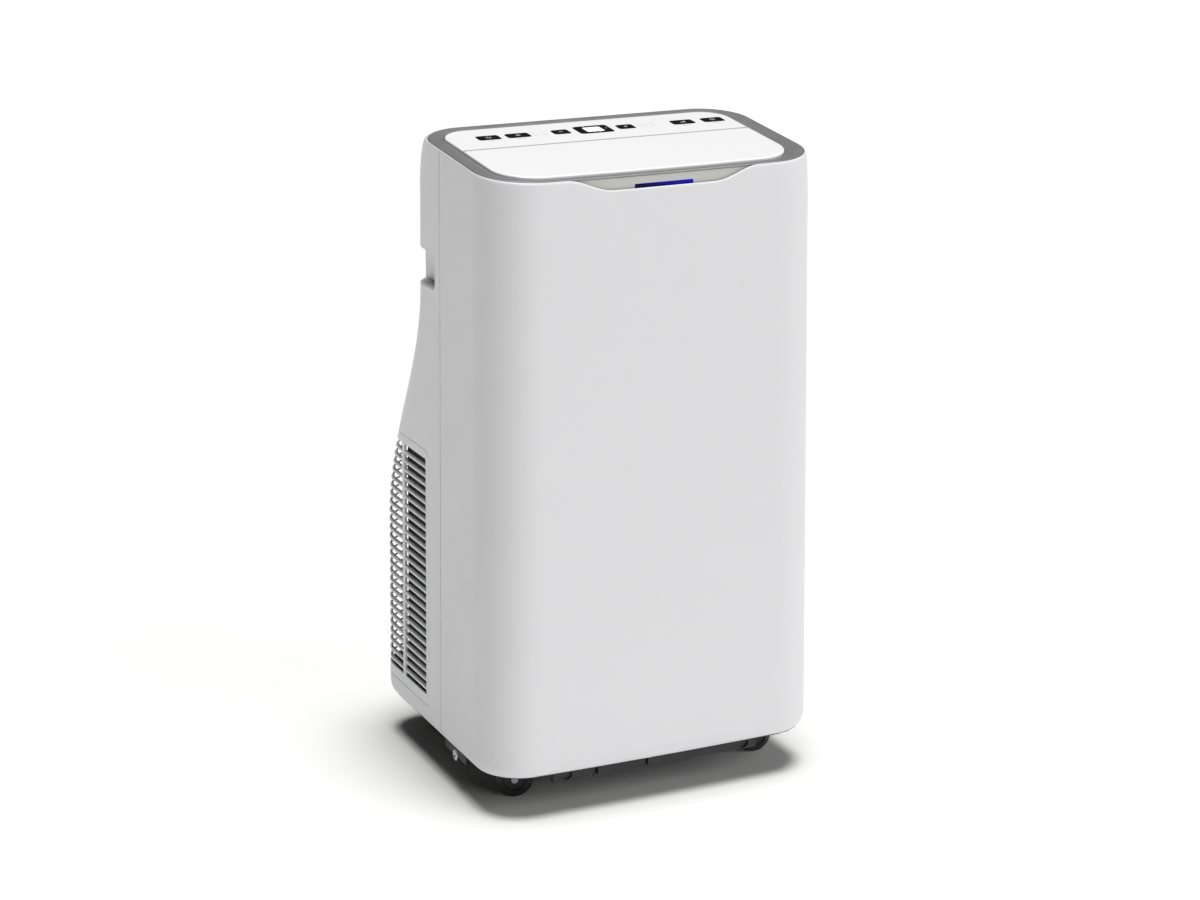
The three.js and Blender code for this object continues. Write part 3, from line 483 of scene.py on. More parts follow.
def lathe(name, profile, steps, turn):  # a closed (radius, height) profile turned about Z
    points, faces = [], []
    count = len(profile)
    for i in range(steps):
        angle = 2 * math.pi * i / steps
        points += [
            turn @ (Vector((r * math.cos(angle), r * math.sin(angle), z)) * mm) for r, z in profile
        ]
    for i in range(steps):
        a, b = i * count, (i + 1) % steps * count
        faces += [[a + j, b + j, b + (j + 1) % count, a + (j + 1) % count] for j in range(count)]
    return outward(meshObject(name, points, faces))


def arc(cx, cy, rx, ry, start, end, steps):
    span = math.radians(end - start)
    first = math.radians(start)
    return [
        (cx + rx * math.cos(first + span * i / steps), cy + ry * math.sin(first + span * i / steps))
        for i in range(steps + 1)
    ]


def roundedBox(width, depth, radius, steps=6, x=0, y=0):
    half, deep = width / 2 - radius, depth / 2 - radius
    return (
        arc(x + half, y - deep, radius, radius, -90, 0, steps)
        + arc(x + half, y + deep, radius, radius, 0, 90, steps)
        + arc(x - half, y + deep, radius, radius, 90, 180, steps)
        + arc(x - half, y - deep, radius, radius, 180, 270, steps)
    )


backTurn = Matrix.Rotation(math.radians(-90), 4, "X")  # Z of a profile becomes +Y


# The body's rule: rounded sections that lean in, swell at the back and turn in to the deck
bodySizes = {  # mm
    "foot width": 392,
    "front": 167,
    "front bow": 4,
    "front radius": 52,
    "back radius": 45,
    "lip": 47,  # lower edge above the floor
    "round up": 17,
    "round in": 9,
    "upper back": 69,
    "lower back": 168,
    "flare top": 540,
    "flare foot": 258,
    "shoulder": 60,
    "deck height": 699,
    "trim half": 186.1,
    "trim front": 166.1,
    "trim back": 56.6,
    "trim front radius": 57.6,
    "trim back radius": 51.6,
    "top drop": 0.8,
    "scoop half": 112,
    "scoop flat": 58,
    "scoop depth": 13,
}
bodyAngles = {"side draft": 0.83, "deck tilt": 5.01}  # degrees
frontCentre = bodySizes["front radius"] - bodySizes["front"]
deckTurn = Matrix.Translation((0, 0, bodySizes["deck height"] * mm)) @ Matrix.Rotation(
    math.radians(bodyAngles["deck tilt"]), 4, "X"
)
ruleInputs = {name: size * mm for name, size in bodySizes.items()}
ruleInputs.update({name: math.radians(angle) for name, angle in bodyAngles.items()})


def newTree(name, inputs):
    tree = bpy.data.node_groups.new(name, "GeometryNodeTree")
    tree.interface.new_socket("Geometry", in_out="INPUT", socket_type="NodeSocketGeometry")
    for socketName, kind, value in inputs:
        socket = tree.interface.new_socket(socketName, in_out="INPUT", socket_type=kind)
        if value is not None:
            socket.default_value = value
    tree.interface.new_socket("Geometry", in_out="OUTPUT", socket_type="NodeSocketGeometry")
    return tree, addNode(tree, "NodeGroupInput").outputs, addNode(tree, "NodeGroupOutput")


formulaNodes = {  # the steps of a formula that aren't plain arithmetic
    "range": ("ShaderNodeMapRange", {"interpolation_type": "LINEAR"}),
    "smooth range": ("ShaderNodeMapRange", {"interpolation_type": "SMOOTHSTEP"}),
    "blend": ("ShaderNodeMix", {}),
}


def addFormula(tree, known, steps):  # each step: its result's name, what it does, and its inputs
    for result, operation, *values in steps:
        plain = ("ShaderNodeMath", {"operation": operation})
        kind, settings = formulaNodes.get(operation, plain)
        first = [0, 2, 3] if operation == "blend" else range(len(values))
        inputs = {i: known.get(value, value) for i, value in zip(first, values)}
        known[result] = addNode(tree, kind, settings, inputs).outputs[0]


# One rounded section: a point's place from its share of the straight runs and its facing.
def makeSectionTree():
    tree = bpy.data.node_groups.new("roundedSection", "GeometryNodeTree")
    for name in ("outline", "facing"):
        tree.interface.new_socket(name, in_out="INPUT", socket_type="NodeSocketVector")
    for name in ("half", "back", "front radius", "back radius", "bow", "inset"):
        tree.interface.new_socket(name, in_out="INPUT", socket_type="NodeSocketFloat")
    tree.interface.new_socket("place", in_out="OUTPUT", socket_type="NodeSocketVector")
    size = addNode(tree, "NodeGroupInput").outputs
    result = addNode(tree, "NodeGroupOutput")
    known = dict(size.items())
    outline = addNode(tree, "ShaderNodeSeparateXYZ", inputs={0: size["outline"]}).outputs
    facing = addNode(tree, "ShaderNodeSeparateXYZ", inputs={0: size["facing"]}).outputs
    known.update(zip(("across", "to back", "along y"), outline))
    known.update(zip(("face x", "face y", "along x"), facing))
    steps = (
        ("radius", "blend", "to back", "front radius", "back radius"),
        ("turn", "SUBTRACT", "radius", "inset"),
        ("run", "SUBTRACT", "half", "radius"),
        ("straight", "MULTIPLY_ADD", "across", "run", "along x"),
        ("x", "MULTIPLY_ADD", "turn", "face x", "straight"),
        ("back centre", "SUBTRACT", "back", "back radius"),
        ("along", "MULTIPLY_ADD", "to back", "back centre", "along y"),
        ("unbowed y", "MULTIPLY_ADD", "turn", "face y", "along"),
        ("reach", "SUBTRACT", "half", "inset"),
        ("share", "DIVIDE", "x", "reach"),
        ("square", "MULTIPLY", "share", "share"),
        ("fall", "SUBTRACT", 1, "square"),
        ("at front", "SUBTRACT", 1, "to back"),
        ("front fall", "MULTIPLY", "fall", "at front"),
        ("bow here", "MULTIPLY", "bow", "front fall"),
        ("y", "SUBTRACT", "unbowed y", "bow here"),
    )
    addFormula(tree, known, steps)
    place = addNode(tree, "ShaderNodeCombineXYZ", inputs={0: known["x"], 1: known["y"]})
    tree.links.new(place.outputs[0], result.inputs[0])
    return tree


def makeBodyTree():
    sockets = [(name, "NodeSocketFloat", value) for name, value in ruleInputs.items()]
    tree, size, result = newTree("bodyForm", sockets)
    section = makeSectionTree()
    known = dict(size.items())
    stored = (("outline", "FLOAT_VECTOR"), ("facing", "FLOAT_VECTOR"), ("rise", "FLOAT_VECTOR"))
    for name, kind in (*stored, ("inset", "FLOAT")):
        node = addNode(tree, "GeometryNodeInputNamedAttribute", {"data_type": kind}, {0: name})
        known[name] = node.outputs[0]
    rise = addNode(tree, "ShaderNodeSeparateXYZ", inputs={0: known["rise"]}).outputs
    known.update(zip(("height", "tilt", "below"), rise))
    outline = addNode(tree, "ShaderNodeSeparateXYZ", inputs={0: known["outline"]}).outputs
    known.update(zip(("across", "to back"), outline))
    spot = addNode(tree, "GeometryNodeInputPosition").outputs[0]
    known["lift"] = addNode(tree, "ShaderNodeSeparateXYZ", inputs={0: spot}).outputs[2]
    widths = (
        ("z", "ADD", "height", "lift"),
        ("slope", "TANGENT", "side draft"),
        ("above lip", "SUBTRACT", "z", "lip"),
        ("lean", "MULTIPLY", "above lip", "slope"),
        ("foot half", "MULTIPLY", "foot width", 0.5),
        ("half", "SUBTRACT", "foot half", "lean"),
        ("back", "smooth range", "z", "flare foot", "flare top", "lower back", "upper back"),
        ("foot end", "ADD", "lip", "round up"),
        ("foot", "range", "z", "lip", "foot end", 1, 0),
        ("foot square", "MULTIPLY", "foot", "foot"),
        ("foot rest", "SUBTRACT", 1, "foot square"),
        ("foot turn", "SQRT", "foot rest"),
        ("foot lack", "SUBTRACT", 1, "foot turn"),
        ("foot in", "MULTIPLY", "round in", "foot lack"),
        ("body inset", "ADD", "inset", "foot in"),
        ("at front", "SUBTRACT", 1, "to back"),
        ("trim centre", "SUBTRACT", "trim front radius", "trim front"),
        ("trim along", "MULTIPLY", "at front", "trim centre"),
    )
    addFormula(tree, known, widths)
    known["trim outline"] = addNode(
        tree,
        "ShaderNodeCombineXYZ",
        inputs={0: known["across"], 1: known["to back"], 2: known["trim along"]},
    ).outputs[0]
    sections = {  # where each of the section's inputs comes from
        "body": ("outline", "half", "back", "front radius", "back radius", "body inset"),
        "trim": (
            "trim outline",
            "trim half",
            "trim back",
            "trim front radius",
            "trim back radius",
            "inset",
        ),
    }
    for name, sources in sections.items():
        sectionInputs = ("outline", "half", "back", "front radius", "back radius", "inset")
        inputs = {given: known[source] for given, source in zip(sectionInputs, sources)}
        inputs.update({"facing": known["facing"], "bow": known["front bow"]})
        group = addNode(tree, "GeometryNodeGroup", {"node_tree": section}, inputs)
        known[name] = group.outputs[0]
    known["body x"] = addNode(tree, "ShaderNodeSeparateXYZ", inputs={0: known["body"]}).outputs[0]
    shoulder = (
        ("off centre", "ABSOLUTE", "body x"),
        ("full dip", "smooth range", "off centre", "scoop flat", "scoop half", "scoop depth", 0),
        ("on front", "LESS_THAN", "to back", 0.5),
        ("dip", "MULTIPLY", "full dip", "on front"),
        ("shoulder foot", "ADD", "shoulder", "top drop"),
        ("near top", "range", "below", "top drop", "shoulder foot", 1, 0),
        ("drop", "MULTIPLY_ADD", "dip", "near top", "below"),
        ("up", "range", "drop", "top drop", "shoulder foot", 1, 0),
        ("up square", "MULTIPLY", "up", "up"),
        ("up rest", "SUBTRACT", 1, "up square"),
        ("up turn", "SQRT", "up rest"),
        ("turn in", "SUBTRACT", 1, "up turn"),
    )
    addFormula(tree, known, shoulder)
    flat = addNode(
        tree,
        "ShaderNodeMix",
        {"data_type": "VECTOR"},
        {0: known["turn in"], 4: known["body"], 5: known["trim"]},
    ).outputs[1]
    known.update(zip("xy", addNode(tree, "ShaderNodeSeparateXYZ", inputs={0: flat}).outputs))
    levels = (
        ("deck slope", "TANGENT", "deck tilt"),
        ("deck", "MULTIPLY_ADD", "y", "deck slope", "deck height"),
        ("level wall", "MINIMUM", "z", "flare top"),
        ("tilted wall", "SUBTRACT", "deck", "drop"),
        ("level", "blend", "tilt", "level wall", "tilted wall"),
    )
    addFormula(tree, known, levels)
    inputs = {0: known["x"], 1: known["y"], 2: known["level"]}
    place = addNode(tree, "ShaderNodeCombineXYZ", inputs=inputs).outputs[0]
    moved = addNode(
        tree, "GeometryNodeSetPosition", inputs={"Geometry": size["Geometry"], "Position": place}
    )
    tree.links.new(moved.outputs[0], result.inputs[0])
    return tree


bodyTree = makeBodyTree()


def setInputs(modifier, values):  # by each socket's identifier
    for item in modifier.node_group.interface.items_tree:
        if item.item_type == "SOCKET" and item.in_out == "INPUT" and item.name in values:
            modifier[item.identifier] = values[item.name]


def shapedByNodes(obj, tree, values):
    change = obj.modifiers.new("form", "NODES")
    change.node_group = tree
    setInputs(change, values)
    return baked(obj)


# A station is (share across, share to the back corner, y, facing x, facing y, x), in mm.
def cornerStations(side, atBack, start, steps):
    along = 0 if atBack else frontCentre
    turns = [math.radians(start + 90 * i / steps) for i in range(steps + 1)]
    return [(side, int(atBack), along, math.cos(t), math.sin(t), 0) for t in turns]


def loopStations(corner, sides, back, front):
    right = [(1, i / sides, (1 - i / sides) * frontCentre, 1, 0, 0) for i in range(1, sides)]
    left = [(-1, u, along, -1, 0, 0) for _, u, along, _, _, _ in right[::-1]]
    rear = [(1 - 2 * i / back, 1, 0, 0, 1, 0) for i in range(1, back)]
    face = [(-1 + 2 * i / front, 0, frontCentre, 0, -1, 0) for i in range(1, front)]
    return (
        cornerStations(1, False, -90, corner)
        + right
        + cornerStations(1, True, 0, corner)
        + rear
        + cornerStations(-1, True, 90, corner)
        + left
        + cornerStations(-1, False, 180, corner)
        + face
    )


# A row is (height, share of the deck's tilt, distance below the deck, inset), in mm.
def wallRows(inset, flareSteps, footSteps, shoulderSteps, lastDrop):
    size = bodySizes
    top = size["deck height"] - size["shoulder"]
    low = size["shoulder"] + size["top drop"]
    rows = []
    for i in range(footSteps + 1):
        z = size["lip"] + size["round up"] * (1 - math.cos(math.pi / 2 * i / footSteps))
        rows.append((z, 0, low, inset))
    foot = size["lip"] + size["round up"]
    rows += [(foot + (size["flare foot"] - foot) * i / 4, 0, low, inset) for i in (1, 2, 3)]
    span = size["flare top"] - size["flare foot"]
    rows += [
        (size["flare foot"] + span * i / flareSteps, 0, low, inset) for i in range(flareSteps + 1)
    ]
    rows += [(size["flare top"] + (top - size["flare top"]) * k, k, low, inset) for k in (0.35, 0.7)]
    lastTurn = math.asin(1 - (lastDrop - size["top drop"]) / size["shoulder"])
    for i in range(shoulderSteps + 1):
        up = math.sin(lastTurn * i / shoulderSteps)
        rows.append((top, 1, size["top drop"] + size["shoulder"] * (1 - up), inset))
    return rows


def storeRule(obj, stations, rows):  # one point for each pair, rows outermost
    storePoints(obj, [(station, row) for row in rows for station in stations])


def storePoints(obj, pairs):
    lines, facings, rises, insets = [], [], [], []
    for (across, toBack, alongY, faceX, faceY, alongX), (height, tilt, below, inset) in pairs:
        lines += [across, toBack, alongY * mm]
        facings += [faceX, faceY, alongX * mm]
        rises += [height * mm, tilt, below * mm]
        insets.append(inset * mm)
    for name, values in (("outline", lines), ("facing", facings), ("rise", rises)):
        obj.data.attributes.new(name, "FLOAT_VECTOR", "POINT").data.foreach_set("vector", values)
    obj.data.attributes.new("inset", "FLOAT", "POINT").data.foreach_set("value", insets)


def ruledSurface(name, stations, rows, closed, capped):
    count = len(stations)
    points = [(0, 0, 0)] * (count * len(rows))
    faces = []
    for r in range(len(rows) if not capped else len(rows) - 1):
        low, high = r * count, (r + 1) % len(rows) * count
        for i in range(count if closed else count - 1):
            j = (i + 1) % count
            faces.append([low + i, low + j, high + j, high + i])
    if capped:
        faces += [list(range(count))[::-1], list(range((len(rows) - 1) * count, len(rows) * count))]
    obj = meshObject(name, points, faces)
    storeRule(obj, stations, rows)
    return obj


# Front and rear shells
shellSizes = {  # mm
    "wall": 2.5,
    "lipWall": 1.2,  # the shell thins to this round the deck trim
    "lipRound": 2.5,  # height over which that lip is rounded
    "lipDeep": 4,
    "seamGap": 0.6,
    "windowGap": 0.4,
    "handleDepth": 16,
    "handleStart": -9,
    "handleSweep": 14,  # run of the curved front wall
    "handleFoot": 544,
    "handleTop": 584,
    "topRound": 13,
    "footRound": 8,
    "seamLine": 0.5,  # shadow line beside the seam
    "seatRadius": 88,
    "seatRim": 4,
    "seatSink": 16,
    "bossRoot": 116,
    "boreRadius": 66,
    "plugHole": 6.4,
    "glandHole": 9.4,
}
bodyStations = loopStations(corner=14, sides=14, back=20, front=60)


def makeShellTube():
    size = shellSizes
    topDrop = bodySizes["top drop"]
    outside = wallRows(0, 26, 10, 12, topDrop + size["lipRound"])
    inside = wallRows(size["wall"], 14, 5, 7, topDrop + size["lipDeep"] + 0.6)
    top = bodySizes["deck height"] - bodySizes["shoulder"]
    lip = []
    for i in range(1, 7):
        turn = math.pi / 2 * i / 6
        drop = topDrop + size["lipRound"] * (1 - math.sin(turn))
        lip.append((top, 1, drop, size["lipWall"] * (1 - math.cos(turn))))
    lip.append((top, 1, topDrop + size["lipDeep"], size["lipWall"]))
    rows = outside + lip + inside[::-1]
    tube = ruledSurface("shellTube", bodyStations, rows, True, False)
    return shapedByNodes(tube, bodyTree, ruleInputs)


def makeBodySolid(inset=0):
    rows = wallRows(inset, 14, 5, 7, bodySizes["top drop"])
    solid = ruledSurface("bodySolid", bodyStations, rows, True, True)
    return shapedByNodes(solid, bodyTree, ruleInputs)


def halfWidthAt(z):
    lean = math.tan(math.radians(bodyAngles["side draft"]))
    return bodySizes["foot width"] / 2 - (z - bodySizes["lip"]) * lean


def makeHandleBlock(side, grow):  # finger room: rounded at the front, open round the back corner
    size = shellSizes
    reach = halfWidthAt(size["handleTop"])
    inside = reach - size["handleDepth"] - grow
    behind = bodySizes["upper back"] + 20
    foot, top = size["handleFoot"] - grow, size["handleTop"] + grow
    levels = []
    for end, way, name in ((foot, 1, "footRound"), (top, -1, "topRound")):
        for r, t in quarter(size[name]):
            levels.append((end + way * r * (1 - math.cos(t)), r * (1 - math.sin(t))))
    loops = []
    for z, back in sorted(levels):
        start = size["handleStart"] - grow + back
        plan = [(reach + 6, start)] + [
            (reach - (reach - inside) * math.sin(t), start + size["handleSweep"] * (1 - math.cos(t)))
            for _, t in quarter(1)
        ]
        plan += [(inside, behind), (reach + 6, behind)]
        loops.append([(side * x, y, z) for x, y in plan])
    return stacked("handleBlock", loops)


def makeGrilleBlock(side, grow):  # the block of space that a side grille fills
    low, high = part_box("side_grille_left" if side < 0 else "side_grille_right")
    front = low.y / mm - grow
    radius = grilleSizes["cornerRadius"] + grow
    foot, top = low.z / mm - grow, high.z / mm + grow
    outline = (
        [(-250, foot), (-250, top)]
        + [(-x, y) for x, y in arc(front + radius, top - radius, radius, radius, 90, 180, 8)]
        + [(-x, y) for x, y in arc(front + radius, foot + radius, radius, radius, 180, 270, 8)]
    )
    inside = grilleSizes["backX"] - grow
    ends = (inside, 230) if side > 0 else (-230, -inside)
    turn = Matrix(((0, 0, 1, 0), (-1, 0, 0, 0), (0, 1, 0, 0), (0, 0, 0, 1)))
    return prism("grilleBlock", outline, ends[0], ends[1], turn)


def nodeBox(node):  # the corners of a CAD node's box, in mm
    low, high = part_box(node)
    return low / mm, high / mm


def cylinderBack(name, x, z, radius, y0, y1, steps=72):
    turn = Matrix.Translation((x * mm, 0, z * mm)) @ backTurn
    return prism(name, arc(0, 0, radius, radius, 0, 360 - 360 / steps, steps - 1), y0, y1, turn)


def blockMm(name, x0, x1, y0, y1, z0, z1):
    return prism(name, [(x0, y0), (x1, y0), (x1, y1), (x0, y1)], z0, z1)


grilleSizes = {  # mm
    "cornerRadius": 8,
    "backX": 98,
    "slotFoot": 87,
    "slotPitch": 10.15,
    "slats": 26,
    "slotStart": 20,
    "ribFrom": 83.5,
    "ribTo": 90.5,
    "backEdge": 7,
}


def makeShells():
    size = shellSizes
    tube = makeShellTube()
    far, high = 300, 800  # past the object on every side
    seam = nodeBox("front_shell")[1].y  # the front shell ends here
    line = size["seamLine"]
    groove = blockMm("groove", -far, far, seam - line, seam + size["seamGap"] + line, 0, high)
    combined(groove, "DIFFERENCE", makeBodySolid(line))
    combined(tube, "DIFFERENCE", groove)
    front = copyOf(tube, "front_shell_skin")
    combined(front, "INTERSECT", blockMm("frontHalf", -far, far, -far, seam, 0, high))
    rear = tube
    rear.name = "rear_shell_skin"
    combined(rear, "INTERSECT", blockMm("rearHalf", -far, far, seam + size["seamGap"], far, 0, high))
    body = makeBodySolid()
    for side in (-1, 1):
        liner = makeHandleBlock(side, size["wall"])
        combined(liner, "INTERSECT", copyOf(body, "bodyCopy"))
        combined(rear, "UNION", liner)
        combined(rear, "DIFFERENCE", makeHandleBlock(side, 0))
        combined(rear, "DIFFERENCE", makeGrilleBlock(side, size["windowGap"]))
    bpy.data.objects.remove(body)

    low, high = nodeBox("exhaust_collar")
    exhaustZ = (low.z + high.z) / 2
    back = bodySizes["lower back"]
    seat = back - size["seatSink"]
    rim, wall = size["seatRadius"] + size["seatRim"], size["wall"]
    combined(rear, "DIFFERENCE", cylinderBack("seatRoom", 0, exhaustZ, rim - wall / 2, 60, 200))
    boss = lathe(
        "seatBoss",
        [
            (rim - wall, size["bossRoot"]),
            (rim, size["bossRoot"]),
            (rim, back - 1.2),
            (rim - 0.4, back - 0.5),
            (rim - 1, back - 0.2),
            (size["seatRadius"] + 1, back - 0.2),
            (size["seatRadius"] + 0.3, back - 0.5),
            (size["seatRadius"], back - 1.2),
            (size["seatRadius"], seat + 1),
            (size["seatRadius"] - 1, seat),
            (size["boreRadius"] + 0.5, seat),
            (size["boreRadius"], seat - 0.5),
            (size["boreRadius"], seat - wall),
            (rim - wall, seat - wall),
        ],
        96,
        Matrix.Translation((0, 0, exhaustZ * mm)) @ backTurn,
    )
    combined(rear, "UNION", boss)
    intakeLow, intakeHigh = nodeBox("intake_grille")
    grow = size["windowGap"]
    window = roundedBox(
        intakeHigh.x - intakeLow.x + 2 * grow,
        intakeHigh.z - intakeLow.z + 2 * grow,
        intakeSizes["cornerRadius"] + grow,
        y=-(intakeLow.z + intakeHigh.z) / 2,
    )
    combined(rear, "DIFFERENCE", prism("intakeRoom", window, 20, 200, backTurn))
    for node, radius in (
        ("upper_drain_plug", size["plugHole"]),
        ("lower_drain_plug", size["plugHole"]),
        ("cord_gland", size["glandHole"]),
    ):
        low, high = nodeBox(node)
        middle = (low + high) / 2
        combined(rear, "DIFFERENCE", cylinderBack("hole", middle.x, middle.z, radius, 20, 200, 32))
    placed(front, "root", finish["shell"], ["front_shell"])
    placed(rear, "root", finish["shell"], ["rear_shell"])


intakeSizes = {  # mm
    "cornerRadius": 5,
    "border": 9,
    "thick": 2.5,
    "columnRib": 6,
    "columns": 3,
    "windowFoot": 466,
    "windowTop": 643,
    "louvres": 11,
    "louvreFoot": 476,
    "louvrePitch": 15,
}
makeShells()
print("shells made")


# Side grilles: a border that follows the body, and slats repeated up it
def sideStation(side, y):
    return (side, 0, y, side, 0, 0)


def backStation(x):
    return (0, 1, 0, 0, 1, x)


def wrapPath(side, y, x, steps):  # from y on the side, round the back corner, to x on the back
    straight = [(side, i / 3, (1 - i / 3) * y, side, 0, 0) for i in range(3)]
    corner = cornerStations(side, True, 0 if side > 0 else 90, steps)
    return straight + (corner if side > 0 else corner[::-1]) + [backStation(side * x)]


def ruledPanel(name, stations, rows, depths, isOpen):  # cells between two insets, some left open
    count, layer = len(stations), len(stations) * len(rows)
    faces = []

    def solid(r, i):
        return 0 <= r < len(rows) - 1 and 0 <= i < count - 1 and not isOpen(r, i)

    for r in range(len(rows) - 1):
        for i in range(count - 1):
            if not solid(r, i):
                continue
            ring = [r * count + i, r * count + i + 1, (r + 1) * count + i + 1, (r + 1) * count + i]
            faces += [ring, [layer + k for k in ring[::-1]]]
            beside = [(r - 1, i), (r, i + 1), (r + 1, i), (r, i - 1)]
            for k, cell in enumerate(beside):
                if not solid(*cell):
                    a, b = ring[k], ring[(k + 1) % 4]
                    faces.append([b, a, layer + a, layer + b])
    obj = meshObject(name, [(0, 0, 0)] * (2 * layer), faces)
    storeRule(obj, stations, [(*row, depth) for depth in depths for row in rows])
    return obj


def ruledBar(name, stations, profile):  # a closed (inset, rise) profile carried along the stations
    count = len(stations)
    faces = []
    for r in range(len(profile)):
        low, high = r * count, (r + 1) % len(profile) * count
        faces += [[low + i, low + i + 1, high + i + 1, high + i] for i in range(count - 1)]
    faces += [[r * count for r in range(len(profile))][::-1]]
    faces += [[r * count + count - 1 for r in range(len(profile))]]
    obj = meshObject(name, [(0, 0, 0)] * (count * len(profile)), faces)
    low = bodySizes["shoulder"] + bodySizes["top drop"]
    storeRule(obj, stations, [(rise, 0, low, inset) for inset, rise in profile])
    return obj


def endStack(tree, size, result, points, form=None):  # copies on the points, real and painted
    stack = addNode(
        tree, "GeometryNodeInstanceOnPoints", inputs={"Points": points, "Instance": size["Geometry"]}
    )
    last = addNode(tree, "GeometryNodeRealizeInstances", inputs={"Geometry": stack.outputs[0]})
    if form:
        last = addNode(tree, "GeometryNodeGroup", {"node_tree": form}, {"Geometry": last.outputs[0]})
    paint = addNode(
        tree,
        "GeometryNodeSetMaterial",
        inputs={"Geometry": last.outputs[0], "Material": size["Material"]},
    )
    tree.links.new(paint.outputs[0], result.inputs[0])
    return tree


def heightLine(tree, size):  # points up Z, from the tree's own inputs
    first = addNode(tree, "ShaderNodeCombineXYZ", inputs={2: size["First"]}).outputs[0]
    step = addNode(tree, "ShaderNodeCombineXYZ", inputs={2: size["Pitch"]}).outputs[0]
    return addNode(
        tree,
        "GeometryNodeMeshLine",
        inputs={"Count": size["Count"], "Start Location": first, "Offset": step},
    )


def makeSlatTree():
    tree, size, result = newTree(
        "slatStack",
        [
            ("Count", "NodeSocketInt", 1),
            ("First", "NodeSocketFloat", 0.0),
            ("Pitch", "NodeSocketFloat", 0.01),
            ("Material", "NodeSocketMaterial", None),
        ],
    )
    line = heightLine(tree, size)
    return endStack(tree, size, result, line.outputs[0], bodyTree)


slatSetup = {
    "profile": (  # (inset, rise) of one slat: rounded nose, back sloping up and in
        (0.6, 0),
        (0.2, 0.2),
        (0, 0.6),
        (0, 1.4),
        (0.12, 1.8),
        (0.4, 2.1),
        (2, 3.4),
        (2.6, 3.7),
        (3.2, 3.4),
        (3.2, 1.5),
    ),
    "aboveSlot": 2.2,  # from the middle of a slot to the nose above it
    "windowFoot": 84,
    "windowTop": 354,
    "thick": 3,
    "shadeSheetDepths": (5, 5.6),  # dark net sheet behind the flat column: painted shade that keeps the slots black
}
slatTree = makeSlatTree()


def makeSideGrille(side, node):
    size, slat = grilleSizes, slatSetup
    low, high = nodeBox(node)
    endX = size["backX"] + size["backEdge"]
    path = wrapPath(side, size["ribTo"], endX, 10)
    stations = [
        sideStation(side, low.y),
        sideStation(side, size["slotStart"]),
        sideStation(side, size["ribFrom"]),
        *path,
        backStation(side * size["backX"]),
    ]
    heights = [low.z, slat["windowFoot"], 170, bodySizes["flare foot"]]
    heights += [heights[-1] + 12 * i for i in range(1, 8)] + [slat["windowTop"], high.z]
    drop = bodySizes["shoulder"] + bodySizes["top drop"]
    rows = [(z, 0, drop) for z in heights]
    windows = [1] + list(range(3, len(stations) - 2))
    panel = ruledPanel(
        "grilleFrame",
        stations,
        rows,
        (0, slat["thick"]),
        lambda r, i: 0 < r < len(rows) - 2 and i in windows,
    )
    outward(shapedByNodes(panel, bodyTree, ruleInputs))
    combined(panel, "INTERSECT", makeGrilleBlock(side, 0))
    rounded(panel, 0.4)
    parts = [panel]
    columns = (
        [sideStation(side, size["slotStart"] - 1), sideStation(side, size["ribFrom"] + 1)],
        wrapPath(side, size["ribTo"] - 1, endX - 1, 12),
    )
    for column in columns:
        bar = ruledBar("slats", column, slat["profile"])
        values = {
            "Count": size["slats"],
            "First": (size["slotFoot"] + slat["aboveSlot"]) * mm,
            "Pitch": size["slotPitch"] * mm,
            "Material": finish["shell"],
        }
        parts.append(outward(shapedByNodes(bar, slatTree, values)))
    grille = joined(node + "_skin", parts)
    placed(grille, "root", finish["shell"], [node])
    # a dark sheet behind the slots, put there as painted shade so that the slots read black
    sheet = ruledPanel(
        "dust_net_" + ("left" if side < 0 else "right"),
        [sideStation(side, size["slotStart"] - 3), sideStation(side, size["ribFrom"] + 2)],
        [(slat["windowFoot"] - 3, 0, drop), *rows[2:-2], (slat["windowTop"] + 3, 0, drop)],
        slat["shadeSheetDepths"],
        lambda r, i: False,
    )
    outward(shapedByNodes(sheet, bodyTree, ruleInputs))
    placed(sheet, "root", finish["net"])


makeSideGrille(-1, "side_grille_left")
makeSideGrille(1, "side_grille_right")
print("side grilles made")


# Key deck: trim ring, panel, outlet flap
deckSizes = {  # mm, in the tilted plane of the trim
    "half": 184.5,
    "front": 164.5,
    "back": 55,
    "frontRadius": 56,
    "backRadius": 50,
    "bow": 4,
    "band": (18.5, 15.5, 13),  # width at the sides, front and back
    "edge": 1.8,
    "dish": 2.2,
    "undercut": 10,
    "ledge": 6,
    "ledgeThick": 4,
    "lidGap": 1,
    "lidThick": 4,
    "lidRound": 1.8,
    "divider": -35.4,
    "dividerGap": 2.6,
    "hingeY": -43,
    "hingeDrop": 5.5,
    "pinRadius": 1.5,
    "pinGap": 0.3,
    "proud": 0.4,  # keys and display frame above the panel
}


def deckOutline(inset=(0, 0, 0), corner=16, face=26):  # insets at the sides, front and back
    size = deckSizes
    half, front = size["half"] - inset[0], inset[1] - size["front"]
    back = size["back"] - inset[2]
    frontRadius = size["frontRadius"] - 0.7 * inset[0]
    backRadius = size["backRadius"] - inset[0]
    reach = half - frontRadius
    points = (
        arc(reach, front + frontRadius, frontRadius, frontRadius, -90, 0, corner)
        + arc(half - backRadius, back - backRadius, backRadius, backRadius, 0, 90, corner)
        + arc(backRadius - half, back - backRadius, backRadius, backRadius, 90, 180, corner)
        + arc(-reach, front + frontRadius, frontRadius, frontRadius, 180, 270, corner)
        + [(reach * (2 * i / face - 1), front) for i in range(1, face)]
    )
    middle = (front + back) / 2
    return [(x, y - size["bow"] * (1 - (x / half) ** 2) if y < middle else y) for x, y in points]


def bandInsets(extra):
    return tuple(width + extra for width in deckSizes["band"])


through = (-20, 20)  # from below the deck to above it, mm


def deckBox(name, x0, x1, y0, y1, z0, z1):
    return prism(name, [(x0, y0), (x1, y0), (x1, y1), (x0, y1)], z0, z1, deckTurn)


